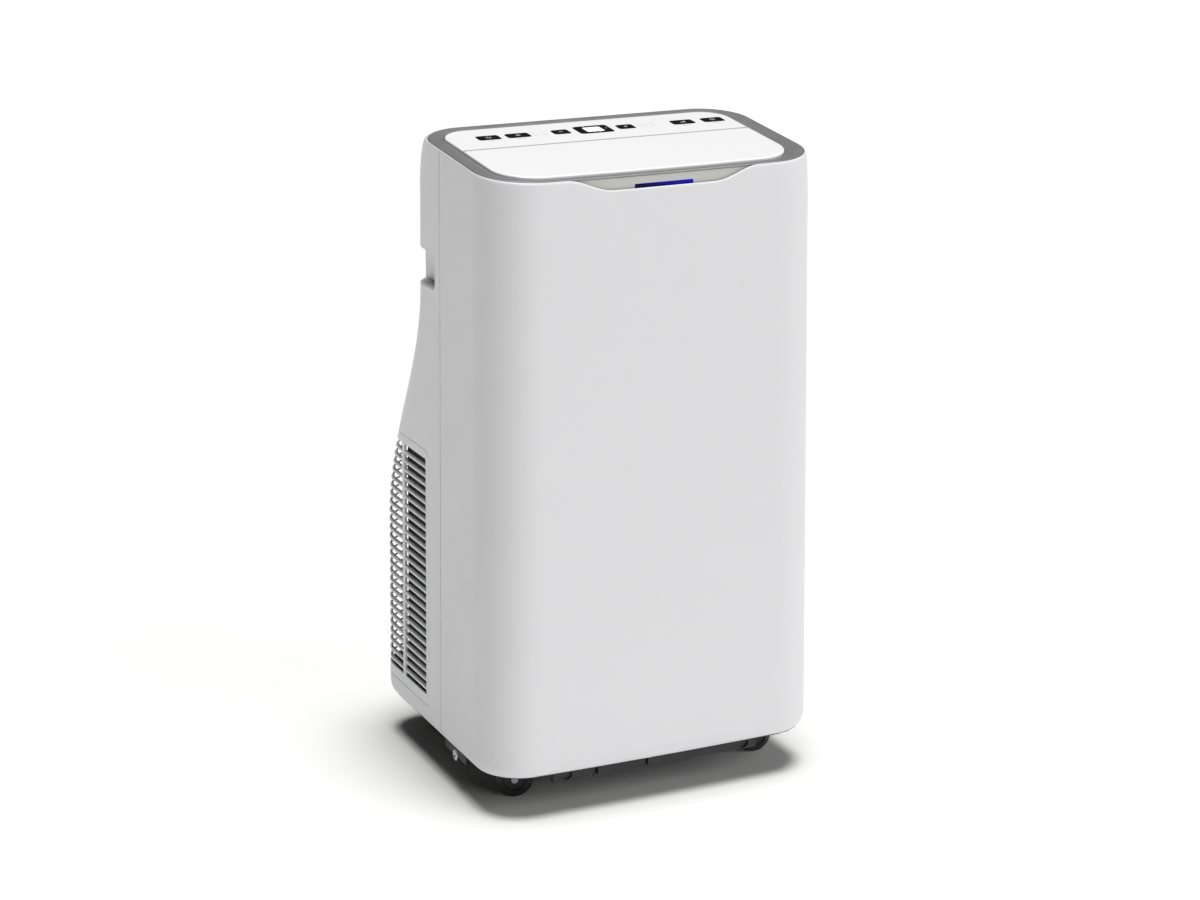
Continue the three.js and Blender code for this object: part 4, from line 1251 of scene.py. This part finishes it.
def deckRod(name, x0, x1, radius, steps=24):  # along X, about the flap's hinge line
    centre = Vector((0, deckSizes["hingeY"], -deckSizes["hingeDrop"])) * mm
    turn = deckTurn @ Matrix.Translation(centre) @ Matrix.Rotation(math.radians(90), 4, "Y")
    return prism(name, arc(0, 0, radius, radius, 0, 360 - 360 / steps, steps - 1), x0, x1, turn)


def makeTrimRing():
    size = deckSizes
    shelf = -size["lidThick"] - 0.4
    foot = shelf - size["ledgeThick"]
    deep = size["undercut"]
    dish = size["dish"]
    levels = [((deep,) * 3, foot), ((deep,) * 3, -size["edge"]), ((0.4,) * 3, -size["edge"])]
    levels += [((0.1,) * 3, -size["edge"] + 0.2), ((0,) * 3, -1)]
    levels += [((1 - math.cos(t),) * 3, math.sin(t) - 1) for _, t in quarter(1, 5)[1:]]
    levels += [(bandInsets(-6), -0.62 * dish), (bandInsets(-1.2), -dish)]
    levels += [(bandInsets(-0.5), -dish - 0.15), (bandInsets(-0.15), -dish - 0.5)]
    levels += [(bandInsets(0), -dish - 1), (bandInsets(0), shelf)]
    levels += [(bandInsets(size["ledge"]), shelf), (bandInsets(size["ledge"]), foot)]
    loops = [[(x, y, z) for x, y in deckOutline(inset)] for inset, z in levels]
    ring = stacked("trim_ring", loops, deckTurn, ring=True)
    half = size["half"] - size["band"][0]
    socket = size["pinRadius"] + size["pinGap"]
    combined(ring, "DIFFERENCE", deckRod("sockets", -half - 7, half + 7, socket))
    reach = half - size["ledge"] - 1
    free = deckBox("flapRoom", -reach - 7, reach + 7, size["hingeY"] - 4, -33.7, foot - 1, shelf + 1)
    combined(ring, "DIFFERENCE", free)
    placed(ring, "root", finish["silver"], ["top_trim_ring"])


def makeLid():  # panel and flap before they are parted
    size = deckSizes
    gap = size["lidGap"]
    return softPad(
        "lid",
        lambda inset: deckOutline(bandInsets(gap + inset)),
        -size["lidThick"],
        0,
        size["lidRound"],
        deckTurn,
    )


keySetup = {
    "keys": {  # centre and width in mm
        "power_button": (-120.4, 25),
        "mode_button": (-87, 26),
        "minus_button": (-37.8, 19),
        "plus_button": (37.8, 19),
        "speed_button": (105.3, 26),
        "timer_button": (141.3, 25),
    },
    "rowY": 4.6,
    "depth": 15.5,
    "radius": 3,
    "edge": 0.35,
    "gap": 0.4,
    "stem": (3, -10.6),  # radius and lower end
    "display": (39, 28),
    "window": (21, 19),
    "displayRadius": 4,
}


def keyOutline(x, width, depth, radius, steps=6):
    return lambda inset: roundedBox(
        width - 2 * inset, depth - 2 * inset, max(radius - inset, 0.2), steps, x, keySetup["rowY"]
    )


def makePanelAndFlap():
    size, keys = deckSizes, keySetup
    wide, gap = 300, keys["gap"]  # wide reaches past the deck on every side
    middle, half = size["divider"], size["dividerGap"] / 2
    panel = makeLid()
    flap = copyOf(panel, "louver_flap_skin")
    panel.name = "control_panel_skin"
    combined(panel, "INTERSECT", deckBox("panelHalf", -wide, wide, middle + half, wide, *through))
    for x, width in keys["keys"].values():
        hole = keyOutline(x, width + 2 * gap, keys["depth"] + 2 * gap, keys["radius"] + gap)(0)
        combined(panel, "DIFFERENCE", prism("keyHole", hole, *through, deckTurn))
    width, depth = keys["display"]
    hole = keyOutline(0, width + 2 * gap, depth + 2 * gap, keys["displayRadius"] + gap)(0)
    combined(panel, "DIFFERENCE", prism("displayHole", hole, *through, deckTurn))
    rounded(panel, 0.35)
    placed(panel, "root", finish["gloss"], ["control_panel"], weighted=True)

    combined(flap, "INTERSECT", deckBox("flapHalf", -wide, wide, -wide, middle - half, *through))
    rounded(flap, 0.6)
    reach = size["half"] - size["band"][0] - size["lidGap"]
    parts = [flap, deckRod("barrel", -reach, reach, size["pinRadius"] + 0.5)]
    parts.append(deckRod("pins", -reach - 6.5, reach + 6.5, size["pinRadius"]))
    for x in (-90, 0, 90):
        parts.append(deckBox("rib", x - 1, x + 1, -140, size["hingeY"] - 3, -6.5, -3.5))
    whole = joined("louver_flap_skin", parts)
    placed(whole, "louver_flap", finish["gloss"], ["louver_flap"], weighted=True)


makeTrimRing()
makePanelAndFlap()
print("deck made")


# Keys, display and printed marks
def deckSpot(x, y, z):
    return deckTurn @ Matrix.Translation(Vector((x, y, z)) * mm)


def inkBar(x, y, width, high, angle=0):
    turn = Matrix.Rotation(math.radians(angle), 4, "Z")
    corners = ((-1, -1), (1, -1), (1, 1), (-1, 1))
    points = [turn @ Vector((sx * width / 2, sy * high / 2, 0)) for sx, sy in corners]
    return [(x + p.x, y + p.y) for p in points]


def inkArc(x, y, radius, width, start, end, steps=20):
    outer = arc(x, y, radius, radius, start, end, steps)
    inner = arc(x, y, radius - width, radius - width, start, end, steps)
    return outer + inner[::-1]


icons = {  # strokes about each key's centre, mm
    "power_button": [inkArc(0, 0, 2.9, 0.6, 125, 415), inkBar(0, 1.9, 0.6, 2.8)],
    "mode_button": [inkBar(0, 0, 0.6, 5.8, a) for a in (0, 60, 120)],
    "minus_button": [inkBar(0, 0, 4.6, 0.8)],
    "plus_button": [inkBar(0, 0, 4.6, 0.8), inkBar(0, 0, 0.8, 4.6)],
    "speed_button": [
        inkBar(x, y, 1.1, high) for x, y, high in ((-2.4, -1.6, 1.8), (0, -0.9, 3.2), (2.4, -0.2, 4.6))
    ],
    "timer_button": [
        inkArc(0, 0, 2.9, 0.6, 0, 350),
        inkBar(0, 1.1, 0.5, 2.2),
        inkBar(0.7, 0, 1.8, 0.5),
    ],
}
markSetup = {  # grey print on the panel, mm from the key row's middle
    "labels": (-120.4, -87, 105.3, 141.3),
    "labelDrop": 12,
    "label": (11, 1),
    "lamps": (-68, -57, 58, 70),
    "lampRows": (4.2, -4.2),
    "lamp": (5.2, 0.8),
}


def inked(name, outlines, x, y, top, body, material, slotName):  # pads of ink, almost flush
    parts = []
    for outline in outlines:
        shape = [(x + a, y + b) for a, b in outline]
        parts.append(prism("stroke", shape, top - 0.3, top + 0.04, deckTurn))
    return placed(joined(name, parts), body, material)


def makeKeys():
    keys, proud = keySetup, deckSizes["proud"]
    thick = deckSizes["lidThick"]
    for node, (x, width) in keys["keys"].items():
        outline = keyOutline(x, width, keys["depth"], keys["radius"])
        cap = softPad("cap", outline, -thick, proud, keys["edge"], deckTurn)
        radius, low = keys["stem"]
        spot = deckSpot(x, keys["rowY"], 0)
        stem = prism("stem", arc(0, 0, radius, radius, 0, 345, 23), low, 0.5 - thick, spot)
        key = joined(node + "_cap", [cap, stem])
        placed(key, node, finish["pianoBlack"], [node], weighted=True)
        ink = (finish["whiteInk"], "display_white")
        inked(node + "_icon", icons[node], x, keys["rowY"], proud, node, *ink)


def makeDisplayPanel():
    keys, proud = keySetup, deckSizes["proud"]
    frameOutline = keyOutline(0, *keys["display"], keys["displayRadius"])
    bezel = softPad("display_frame", frameOutline, -deckSizes["lidThick"], proud, 0.7, deckTurn)
    hole = keyOutline(0, *keys["window"], 3)(0)
    combined(bezel, "DIFFERENCE", prism("windowHole", hole, *through, deckTurn))
    rounded(bezel, 0.25, 2, 50)
    placed(bezel, "root", finish["pianoBlack"], ["display_bezel"], weighted=True)
    width, depth = keys["window"]
    outline = keyOutline(0, width - 0.5, depth - 0.5, 2.8)
    window = softPad("display_pane", outline, -11.6, 0.1, 0.3, deckTurn)
    placed(window, "root", finish["display"], ["display_window"], weighted=True)
    spots = ((-7, 11.6), (3, -11.6), (-3.4, -11.6), (14.8, 0))
    dots = [arc(x, y, 0.8, 0.8, 0, 330, 11) for x, y in spots]
    inked("display_dots", dots, 0, keys["rowY"], proud, "root", finish["whiteInk"], "display_white")


def makeMarks():
    marks, row = markSetup, keySetup["rowY"]
    strokes = [inkBar(x, -marks["labelDrop"], *marks["label"]) for x in marks["labels"]]
    for x in marks["lamps"]:
        for y in marks["lampRows"]:
            strokes += [inkBar(x, y, *marks["lamp"]), arc(x - 4.6, y, 0.55, 0.55, 0, 330, 11)]
    inked("panel_print", strokes, 0, row, 0, "root", finish["greyInk"], "grey_plastic")


makeKeys()
makeDisplayPanel()
makeMarks()
print("keys and display made")


# Receiver insert under the front of the trim
receiverSetup = {  # mm
    "inset": 3.4,
    "thick": 3,
    "top": 2.4,  # below the trim plane
    "foot": 47,
    "rimWidth": 0.7,
    "rimProud": 0.2,
    "windowProud": 0.5,
}


def faceStations(half, steps):  # across the flat run of the front
    top = bodySizes["deck height"] - bodySizes["shoulder"]
    reach = halfWidthAt(top) - bodySizes["front radius"]
    return [(half / reach * (2 * i / steps - 1), 0, frontCentre, 0, -1, 0) for i in range(steps + 1)]


def frontPad(name, half, low, high, inset, deep, radius):  # a rounded pad on the front
    top = bodySizes["deck height"] - bodySizes["shoulder"]
    outline = roundedBox(2 * half, high - low, radius, 5, 0, (low + high) / 2)
    reach = halfWidthAt(top) - bodySizes["front radius"]
    slope = math.tan(math.radians(bodyAngles["deck tilt"]))
    deck = bodySizes["deck height"] - bodySizes["front"] * slope
    count = len(outline)
    faces = [[i, (i + 1) % count, count + (i + 1) % count, count + i] for i in range(count)]
    faces += [list(range(count))[::-1], list(range(count, 2 * count))]
    obj = meshObject(name, [(0, 0, 0)] * (2 * count), faces)
    pairs = [
        ((x / reach, 0, frontCentre, 0, -1, 0), (top, 1, deck - z, depth))
        for depth in (inset + deep, inset)
        for x, z in outline
    ]
    storePoints(obj, pairs)
    return outward(shapedByNodes(obj, bodyTree, {**ruleInputs, "scoop depth": 0.0}))


def makeReceiverInsert():
    size = receiverSetup
    half = bodySizes["scoop half"]
    top = bodySizes["deck height"] - bodySizes["shoulder"]
    count = 8
    tall = size["foot"] - size["top"]
    rows = [(top, 1, size["top"] + tall * i / count) for i in range(count + 1)]
    depths = (size["inset"], size["inset"] + size["thick"])
    insert = ruledPanel(
        "receiver_insert", faceStations(half, 24), rows[::-1], depths, lambda r, i: False
    )
    outward(shapedByNodes(insert, bodyTree, {**ruleInputs, "scoop depth": 0.0}))
    low, high = nodeBox("receiver_window")
    halfBar = (high.x - low.x) / 2
    inset, rim = size["inset"], size["rimWidth"]
    hole = frontPad("barHole", halfBar + rim, low.z - rim, high.z + rim, inset - 2, 9, 1.4)
    combined(insert, "DIFFERENCE", hole)
    placed(insert, "root", finish["warmGrey"], ["receiver_trim"])
    rimFace = inset - size["rimProud"]
    rimPad = frontPad("receiver_rim", halfBar + rim, low.z - rim, high.z + rim, rimFace, 3, 1.4)
    combined(rimPad, "DIFFERENCE", frontPad("rimHole", halfBar, low.z, high.z, inset - 2, 9, 0.8))
    placed(rimPad, "root", finish["receiverRim"])
    bar = frontPad("receiver_bar", halfBar, low.z, high.z, inset - size["windowProud"], 5, 0.8)
    rounded(bar, 0.4)
    placed(bar, "root", finish["receiver"], ["receiver_window"])


makeReceiverInsert()
print("receiver made")


# Intake grille and its filter
def intakeRow(z):  # a height on the back, lying over towards the shoulder near the top
    side = bodySizes["deck height"] - bodySizes["shoulder"]
    slope = math.tan(math.radians(bodyAngles["deck tilt"]))
    top = bodySizes["deck height"] + bodySizes["upper back"] * slope
    straight = bodySizes["flare top"]
    share = (z - straight) / (top - 66 - straight)  # the lying rows end 66 mm below the deck
    full = bodySizes["shoulder"] + bodySizes["top drop"]
    if share <= 0:
        return (z, 0, full)
    return (straight + min(share, 1) * (side - straight), min(share, 1), top - z if share > 1 else full)


def makeIntakeGrille():
    size = intakeSizes
    low, high = nodeBox("intake_grille")
    rib, columns = size["columnRib"], size["columns"]
    inner = high.x - size["border"]
    wide = (2 * inner - (columns - 1) * rib) / columns
    edges = [low.x]
    for i in range(columns):
        start = -inner + i * (wide + rib)
        edges += [start, start + wide]
    edges.append(high.x)
    heights = [low.z, size["windowFoot"], 503, 540, 575, 610, size["windowTop"], high.z]
    panel = ruledPanel(
        "intakeFrame",
        [backStation(x) for x in edges],
        [intakeRow(z) for z in heights],
        (0, size["thick"]),
        lambda r, i: 0 < r < len(heights) - 2 and i % 2 == 1,
    )
    outward(shapedByNodes(panel, bodyTree, ruleInputs))
    height = high.z - low.z
    middle = Matrix.Translation(Vector((0, 0, (high.z + low.z) / 2)) * mm) @ backTurn
    outline = roundedBox(2 * high.x, height, size["cornerRadius"], 6)
    combined(panel, "INTERSECT", prism("intakeRound", outline, 20, 200, middle))
    rounded(panel, 0.4)
    parts = [panel]
    bar = louvreBar("louvre", inner + 1)
    values = {
        "Count": size["louvres"],
        "First": size["louvreFoot"] * mm,
        "Pitch": size["louvrePitch"] * mm,
        "Material": finish["shell"],
    }
    parts.append(outward(shapedByNodes(bar, louvreTree, values)))
    grille = joined("intake_grille_skin", parts)
    placed(grille, "intake_grille", finish["shell"], ["intake_grille"])


louvreProfile = (  # (depth in from the back face, rise), mm
    (0.3, 0.6),
    (0.6, 0),
    (1.8, 1.2),
    (1.8, 5.5),
    (7.6, 10),
    (7, 11),
    (0.8, 7),
    (0.3, 6.4),
)


def louvreBar(name, half):
    count = len(louvreProfile)
    points = [Vector((x, -depth, rise)) * mm for x in (-half, half) for depth, rise in louvreProfile]
    faces = [[i, (i + 1) % count, count + (i + 1) % count, count + i] for i in range(count)]
    faces += [list(range(count))[::-1], list(range(count, 2 * count))]
    return outward(meshObject(name, points, faces))


def makeLouvreTree():  # copies up the back, each pushed out to where the back is at its height
    tree, size, result = newTree(
        "louvreStack",
        [
            ("Count", "NodeSocketInt", 1),
            ("First", "NodeSocketFloat", 0.0),
            ("Pitch", "NodeSocketFloat", 0.01),
            ("Flare foot", "NodeSocketFloat", bodySizes["flare foot"] * mm),
            ("Flare top", "NodeSocketFloat", bodySizes["flare top"] * mm),
            ("Lower back", "NodeSocketFloat", bodySizes["lower back"] * mm),
            ("Upper back", "NodeSocketFloat", bodySizes["upper back"] * mm),
            ("Material", "NodeSocketMaterial", None),
        ],
    )
    line = heightLine(tree, size)
    spot = addNode(tree, "GeometryNodeInputPosition").outputs[0]
    height = addNode(tree, "ShaderNodeSeparateXYZ", inputs={0: spot}).outputs[2]
    reach = addNode(
        tree,
        "ShaderNodeMapRange",
        {"interpolation_type": "SMOOTHSTEP"},
        {
            "Value": height,
            "From Min": size["Flare foot"],
            "From Max": size["Flare top"],
            "To Min": size["Lower back"],
            "To Max": size["Upper back"],
        },
    ).outputs[0]
    shift = addNode(tree, "ShaderNodeCombineXYZ", inputs={1: reach}).outputs[0]
    moved = addNode(
        tree, "GeometryNodeSetPosition", inputs={"Geometry": line.outputs[0], "Offset": shift}
    )
    return endStack(tree, size, result, moved.outputs[0])


def makeRowTree():  # copies of the incoming mesh along one line
    tree, size, result = newTree(
        "row",
        [
            ("Count", "NodeSocketInt", 1),
            ("First", "NodeSocketVector", (0, 0, 0)),
            ("Step", "NodeSocketVector", (0.01, 0, 0)),
            ("Material", "NodeSocketMaterial", None),
        ],
    )
    line = addNode(
        tree,
        "GeometryNodeMeshLine",
        inputs={"Count": size["Count"], "Start Location": size["First"], "Offset": size["Step"]},
    )
    return endStack(tree, size, result, line.outputs[0])


def rowOf(obj, count, first, step, material):  # first and step in mm
    values = {
        "Count": count,
        "First": tuple(Vector(first) * mm),
        "Step": tuple(Vector(step) * mm),
        "Material": material,
    }
    return shapedByNodes(obj, rowTree, values)


filterSetup = {"border": 6, "columns": 4, "rows": 3, "rib": 3, "wire": 0.5, "pitch": 4}  # mm


def makeFilter():
    size = filterSetup
    low, high = nodeBox("air_filter")
    frameMesh = blockMm("filterFrame", low.x, high.x, low.y, high.y, low.z, high.z)
    wide = (high.x - low.x - 2 * size["border"] - (size["columns"] - 1) * size["rib"]) / size["columns"]
    tall = (high.z - low.z - 2 * size["border"] - (size["rows"] - 1) * size["rib"]) / size["rows"]
    for i in range(size["columns"]):
        for j in range(size["rows"]):
            x = low.x + size["border"] + i * (wide + size["rib"])
            z = low.z + size["border"] + j * (tall + size["rib"])
            window = blockMm("window", x, x + wide, low.y - 5, high.y + 5, z, z + tall)
            combined(frameMesh, "DIFFERENCE", window)
    edge = size["border"] - 1
    wire, pitch, middle = size["wire"], size["pitch"], (low.y + high.y) / 2
    upright = blockMm("wire", -wire / 2, wire / 2, -wire / 2, wire / 2, 0, high.z - low.z - 2 * edge)
    across = blockMm("wire", 0, high.x - low.x - 2 * edge, -wire / 2, wire / 2, -wire / 2, wire / 2)
    start = (low.x + edge + pitch / 2, middle, low.z + edge)
    count = int((high.x - low.x - 2 * edge) / pitch)
    parts = [frameMesh, rowOf(upright, count, start, (pitch, 0, 0), finish["net"])]
    start = (low.x + edge, middle + wire, low.z + edge + pitch / 2)
    count = int((high.z - low.z - 2 * edge) / pitch)
    parts.append(rowOf(across, count, start, (0, 0, pitch), finish["net"]))
    mesh = joined("air_filter_net", parts)
    placed(mesh, "intake_grille", finish["net"], ["air_filter"])


louvreTree = makeLouvreTree()
rowTree = makeRowTree()
makeIntakeGrille()
makeFilter()
print("intake made")


# Round pieces on the back and underneath
def turned(name, profile, x, z, steps=64):  # a (radius, y) profile about a line along Y
    turn = Matrix.Translation(Vector((x, 0, z)) * mm) @ backTurn
    return outward(lathe(name, profile, steps, turn))


backSetup = {  # mm; collar radii, plug and gland
    "collar": (66.4, 70.4, 83),
    "collarLead": 1.5,
    "plugStem": 6,
    "gland": (3.5, 9, 13),
}


def makeBackPieces():
    size = backSetup
    low, high = nodeBox("exhaust_collar")
    bore, spigot, flange = size["collar"]
    seat = low.y
    lead = size["collarLead"]
    profile = [(bore, seat), (flange, seat), (flange, seat + 2.4), (flange - 0.6, seat + 3)]
    profile += [(spigot + 1, seat + 3), (spigot + 0.3, seat + 3.3), (spigot, seat + 4)]
    profile += [(spigot, high.y - lead), (spigot - 0.6, high.y - 0.4), (spigot - 1.4, high.y)]
    profile += [(bore + 0.6, high.y), (bore, high.y - 0.6)]
    middle = (low + high) / 2
    collar = turned("exhaust_collar_skin", profile, middle.x, middle.z, 96)
    placed(collar, "root", finish["shell"], ["exhaust_collar"])

    for node in ("upper_drain_plug", "lower_drain_plug"):
        low, high = nodeBox(node)
        middle = (low + high) / 2
        head, stem, face = (high.x - low.x) / 2, size["plugStem"], high.y
        profile = [(0.05, low.y), (stem - 0.8, low.y), (stem, low.y + 0.8), (stem, face - 2.9)]
        profile += [(head, face - 2.9), (head, face - 0.9), (head - 0.3, face - 0.3)]
        profile.append((head - 0.9, face))
        profile += [(4, face), (3.4, face - 0.6), (0.05, face - 0.6)]
        plug = turned(node + "_skin", profile, middle.x, middle.z, 40)
        placed(plug, node, finish["rubber"], [node])

    low, high = nodeBox("cord_gland")
    middle = (low + high) / 2
    bore, neck, wide = size["gland"]
    face = high.y
    profile = [(bore, low.y), (neck, low.y), (neck, face - 2.7), (wide, face - 2.7), (wide, face - 1.8)]
    profile += [(wide - 1.2, face - 0.4), (wide - 2, face), (bore + 1, face), (bore, face - 1)]
    gland = turned("cord_gland_skin", profile, middle.x, middle.z, 40)
    placed(gland, "root", finish["rubber"], ["cord_gland"])


makeBackPieces()
print("back pieces made")


wheelSetup = {"radius": 20, "half": 4.5, "bore": 2.8, "edge": 2.2, "hub": 12, "hubDepth": 1.4}  # mm
casterPlaces = ("front_left", "front_right", "rear_left", "rear_right")


def makeWheels():
    size = wheelSetup
    radius, half, edge, hub = size["radius"], size["half"], size["edge"], size["hub"]
    for place in casterPlaces:
        pair = [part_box("caster_wheel_" + place + "_" + mark) for mark in ("a", "b")]
        middles = [(low + high) / 2 / mm for low, high in pair]
        centre = (middles[0] + middles[1]) / 2
        for mark, middle in zip(("a", "b"), middles):
            away = middle - centre
            turn = Matrix.Rotation(math.atan2(away.y, away.x), 4, "Z")
            turn = Matrix.Translation(middle * mm) @ turn @ Matrix.Rotation(math.radians(90), 4, "Y")
            profile = [(size["bore"], -half), (radius - edge, -half)]
            profile += [(radius - edge * 0.3, edge * 0.3 - half), (radius, edge - half)]
            profile += [(radius, half - edge), (radius - edge * 0.3, half - edge * 0.3)]
            profile += [(radius - edge, half), (hub + 1, half)]
            profile += [(hub, half - size["hubDepth"]), (size["bore"], half - size["hubDepth"])]
            name = "wheel_" + place + "_" + mark
            wheel = outward(lathe(name + "_tyre", profile, 48, turn))
            placed(wheel, name, finish["tyre"], ["caster_wheel_" + place + "_" + mark])


makeWheels()
print("wheels made")


# Screws, seen from outside
screwSetup = {  # mm
    "ring": 6,
    "drive": 2.6,
    "deep": 1.2,
    "face": (105.4, 41.5),
    "faceY": -107.8,
    "sideY": -58,
    "sideDrop": 2.6,
}


def screwMesh():  # a flanged head with a hollow for the driver, looking up +Z
    size = screwSetup
    ring, drive, deep = size["ring"], size["drive"], size["deep"]
    profile = [(0.05, -1), (ring - 0.2, -1), (ring, -0.7), (ring, 0), (ring - 0.5, 0.35)]
    profile += [(drive + 1.2, 0.8), (drive, 0.7), (drive * 0.6, 0.7 - deep), (0.05, 0.7 - deep)]
    return outward(lathe("screw", profile, 28, Matrix.Identity(4)))


def makeScrewTree():
    tree, size, result = newTree("screwSet", [("Material", "NodeSocketMaterial", None)])
    facing = addNode(
        tree, "GeometryNodeInputNamedAttribute", {"data_type": "FLOAT_VECTOR"}, {"Name": "facing"}
    ).outputs[0]
    turn = addNode(
        tree, "FunctionNodeAlignRotationToVector", {"axis": "Z"}, {"Vector": facing}
    ).outputs[0]
    head = addNode(
        tree, "GeometryNodeObjectInfo", {"transform_space": "ORIGINAL"}, {"Object": screwPattern}
    )
    stack = addNode(
        tree,
        "GeometryNodeInstanceOnPoints",
        inputs={"Points": size["Geometry"], "Instance": head.outputs["Geometry"], "Rotation": turn},
    )
    real = addNode(tree, "GeometryNodeRealizeInstances", inputs={"Geometry": stack.outputs[0]})
    paint = addNode(
        tree,
        "GeometryNodeSetMaterial",
        inputs={"Geometry": real.outputs[0], "Material": size["Material"]},
    )
    tree.links.new(paint.outputs[0], result.inputs[0])
    return tree


def makeScrews():
    size = screwSetup
    x, z = size["face"]
    spots = []
    for side in (-1, 1):
        spots.append(((side * x, size["faceY"], z), (0, -1, 0)))
        spots.append(((side * (halfWidthAt(z) - size["sideDrop"]), size["sideY"], z), (side, 0, 0)))
    points = meshObject("screws_zinc", [Vector(spot) * mm for spot, _ in spots], [])
    normals = [value for _, normal in spots for value in normal]
    points.data.attributes.new("facing", "FLOAT_VECTOR", "POINT").data.foreach_set("vector", normals)
    screws = shapedByNodes(points, screwTree, {"Material": finish["zinc"]})
    placed(screws, "root", finish["zinc"])


# Coils behind the grilles
coilSetup = {  # box of the fins, pitch and the return bends, mm
    "evaporator_coil": {"pitch": 2.6, "tubeRadius": 3.5, "tubes": 5},
    "condenser_coil": {"pitch": 3, "tubeRadius": 3.5, "tubes": 5},
}


def makeCoil(node):
    size = coilSetup[node]
    low, high = nodeBox(node)
    plate, lip = 1.5, 2
    ends = [
        blockMm("endPlate", x0, x0 + plate, low.y, high.y, low.z, high.z)
        for x0 in (low.x, high.x - plate)
    ]
    fin = blockMm("fin", 0, 0.25, low.y + lip, high.y - lip, low.z + lip, high.z - lip)
    count = int((high.x - low.x - 2 * plate) / size["pitch"])
    start = (low.x + plate + size["pitch"] / 2, 0, 0)
    fins = rowOf(fin, count, start, (size["pitch"], 0, 0), finish["fins"])
    middle = (low.y + high.y) / 2
    spin = Matrix.Translation(Vector((0, middle, 0)) * mm) @ Matrix.Rotation(math.radians(90), 4, "Y")
    radius = size["tubeRadius"]
    tube = prism("tube", arc(0, 0, radius, radius, 0, 330, 11), low.x + 0.5, high.x - 0.5, spin)
    step = (high.z - low.z - 30) / (size["tubes"] - 1)
    tubes = rowOf(tube, size["tubes"], (0, 0, low.z + 15), (0, 0, step), finish["copper"])
    coil = joined(node + "_fins", [*ends, fins])
    placed(coil, "root", finish["fins"], [node])
    placed(tubes, "root", finish["copper"])


makeCoil("evaporator_coil")
makeCoil("condenser_coil")
screwPattern = screwMesh()
screwTree = makeScrewTree()
makeScrews()
bpy.data.objects.remove(screwPattern)
print("coils and screws made")


# Materials of the pieces shown as the CAD made them
shownNodes = {
    "grey": (
        "outlet_duct",
        "drip_tray",
        "blower_scroll",
        "condenser_scroll",
        *("swing_vane_" + str(i) for i in range(1, 6)),
    ),
    "black": (
        "base_pan",
        "vane_link_bar",
        "blower_wheel",
        "condenser_fan",
        *("caster_hood_" + place for place in casterPlaces),
    ),
    "galvanised": ("flap_motor", "blower_motor", "condenser_motor", "electric_box"),
    "zinc": tuple("caster_axle_" + place for place in casterPlaces),
    "enamel": ("compressor",),
    "board": ("control_board",),
}
for key, nodes in shownNodes.items():
    for node in nodes:
        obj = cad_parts[node]
        obj.data.materials.clear()
        obj.data.materials.append(finish[key])
print("materials on the CAD pieces")


floorMesh = meshObject(
    "studio_floor",
    [Vector((x, y, 0)) * floorSetup["side"] / 2 for x, y in ((-1, -1), (1, -1), (1, 1), (-1, 1))],
    [[0, 1, 2, 3]],
)
floorMesh.data.materials.append(makeFloor())
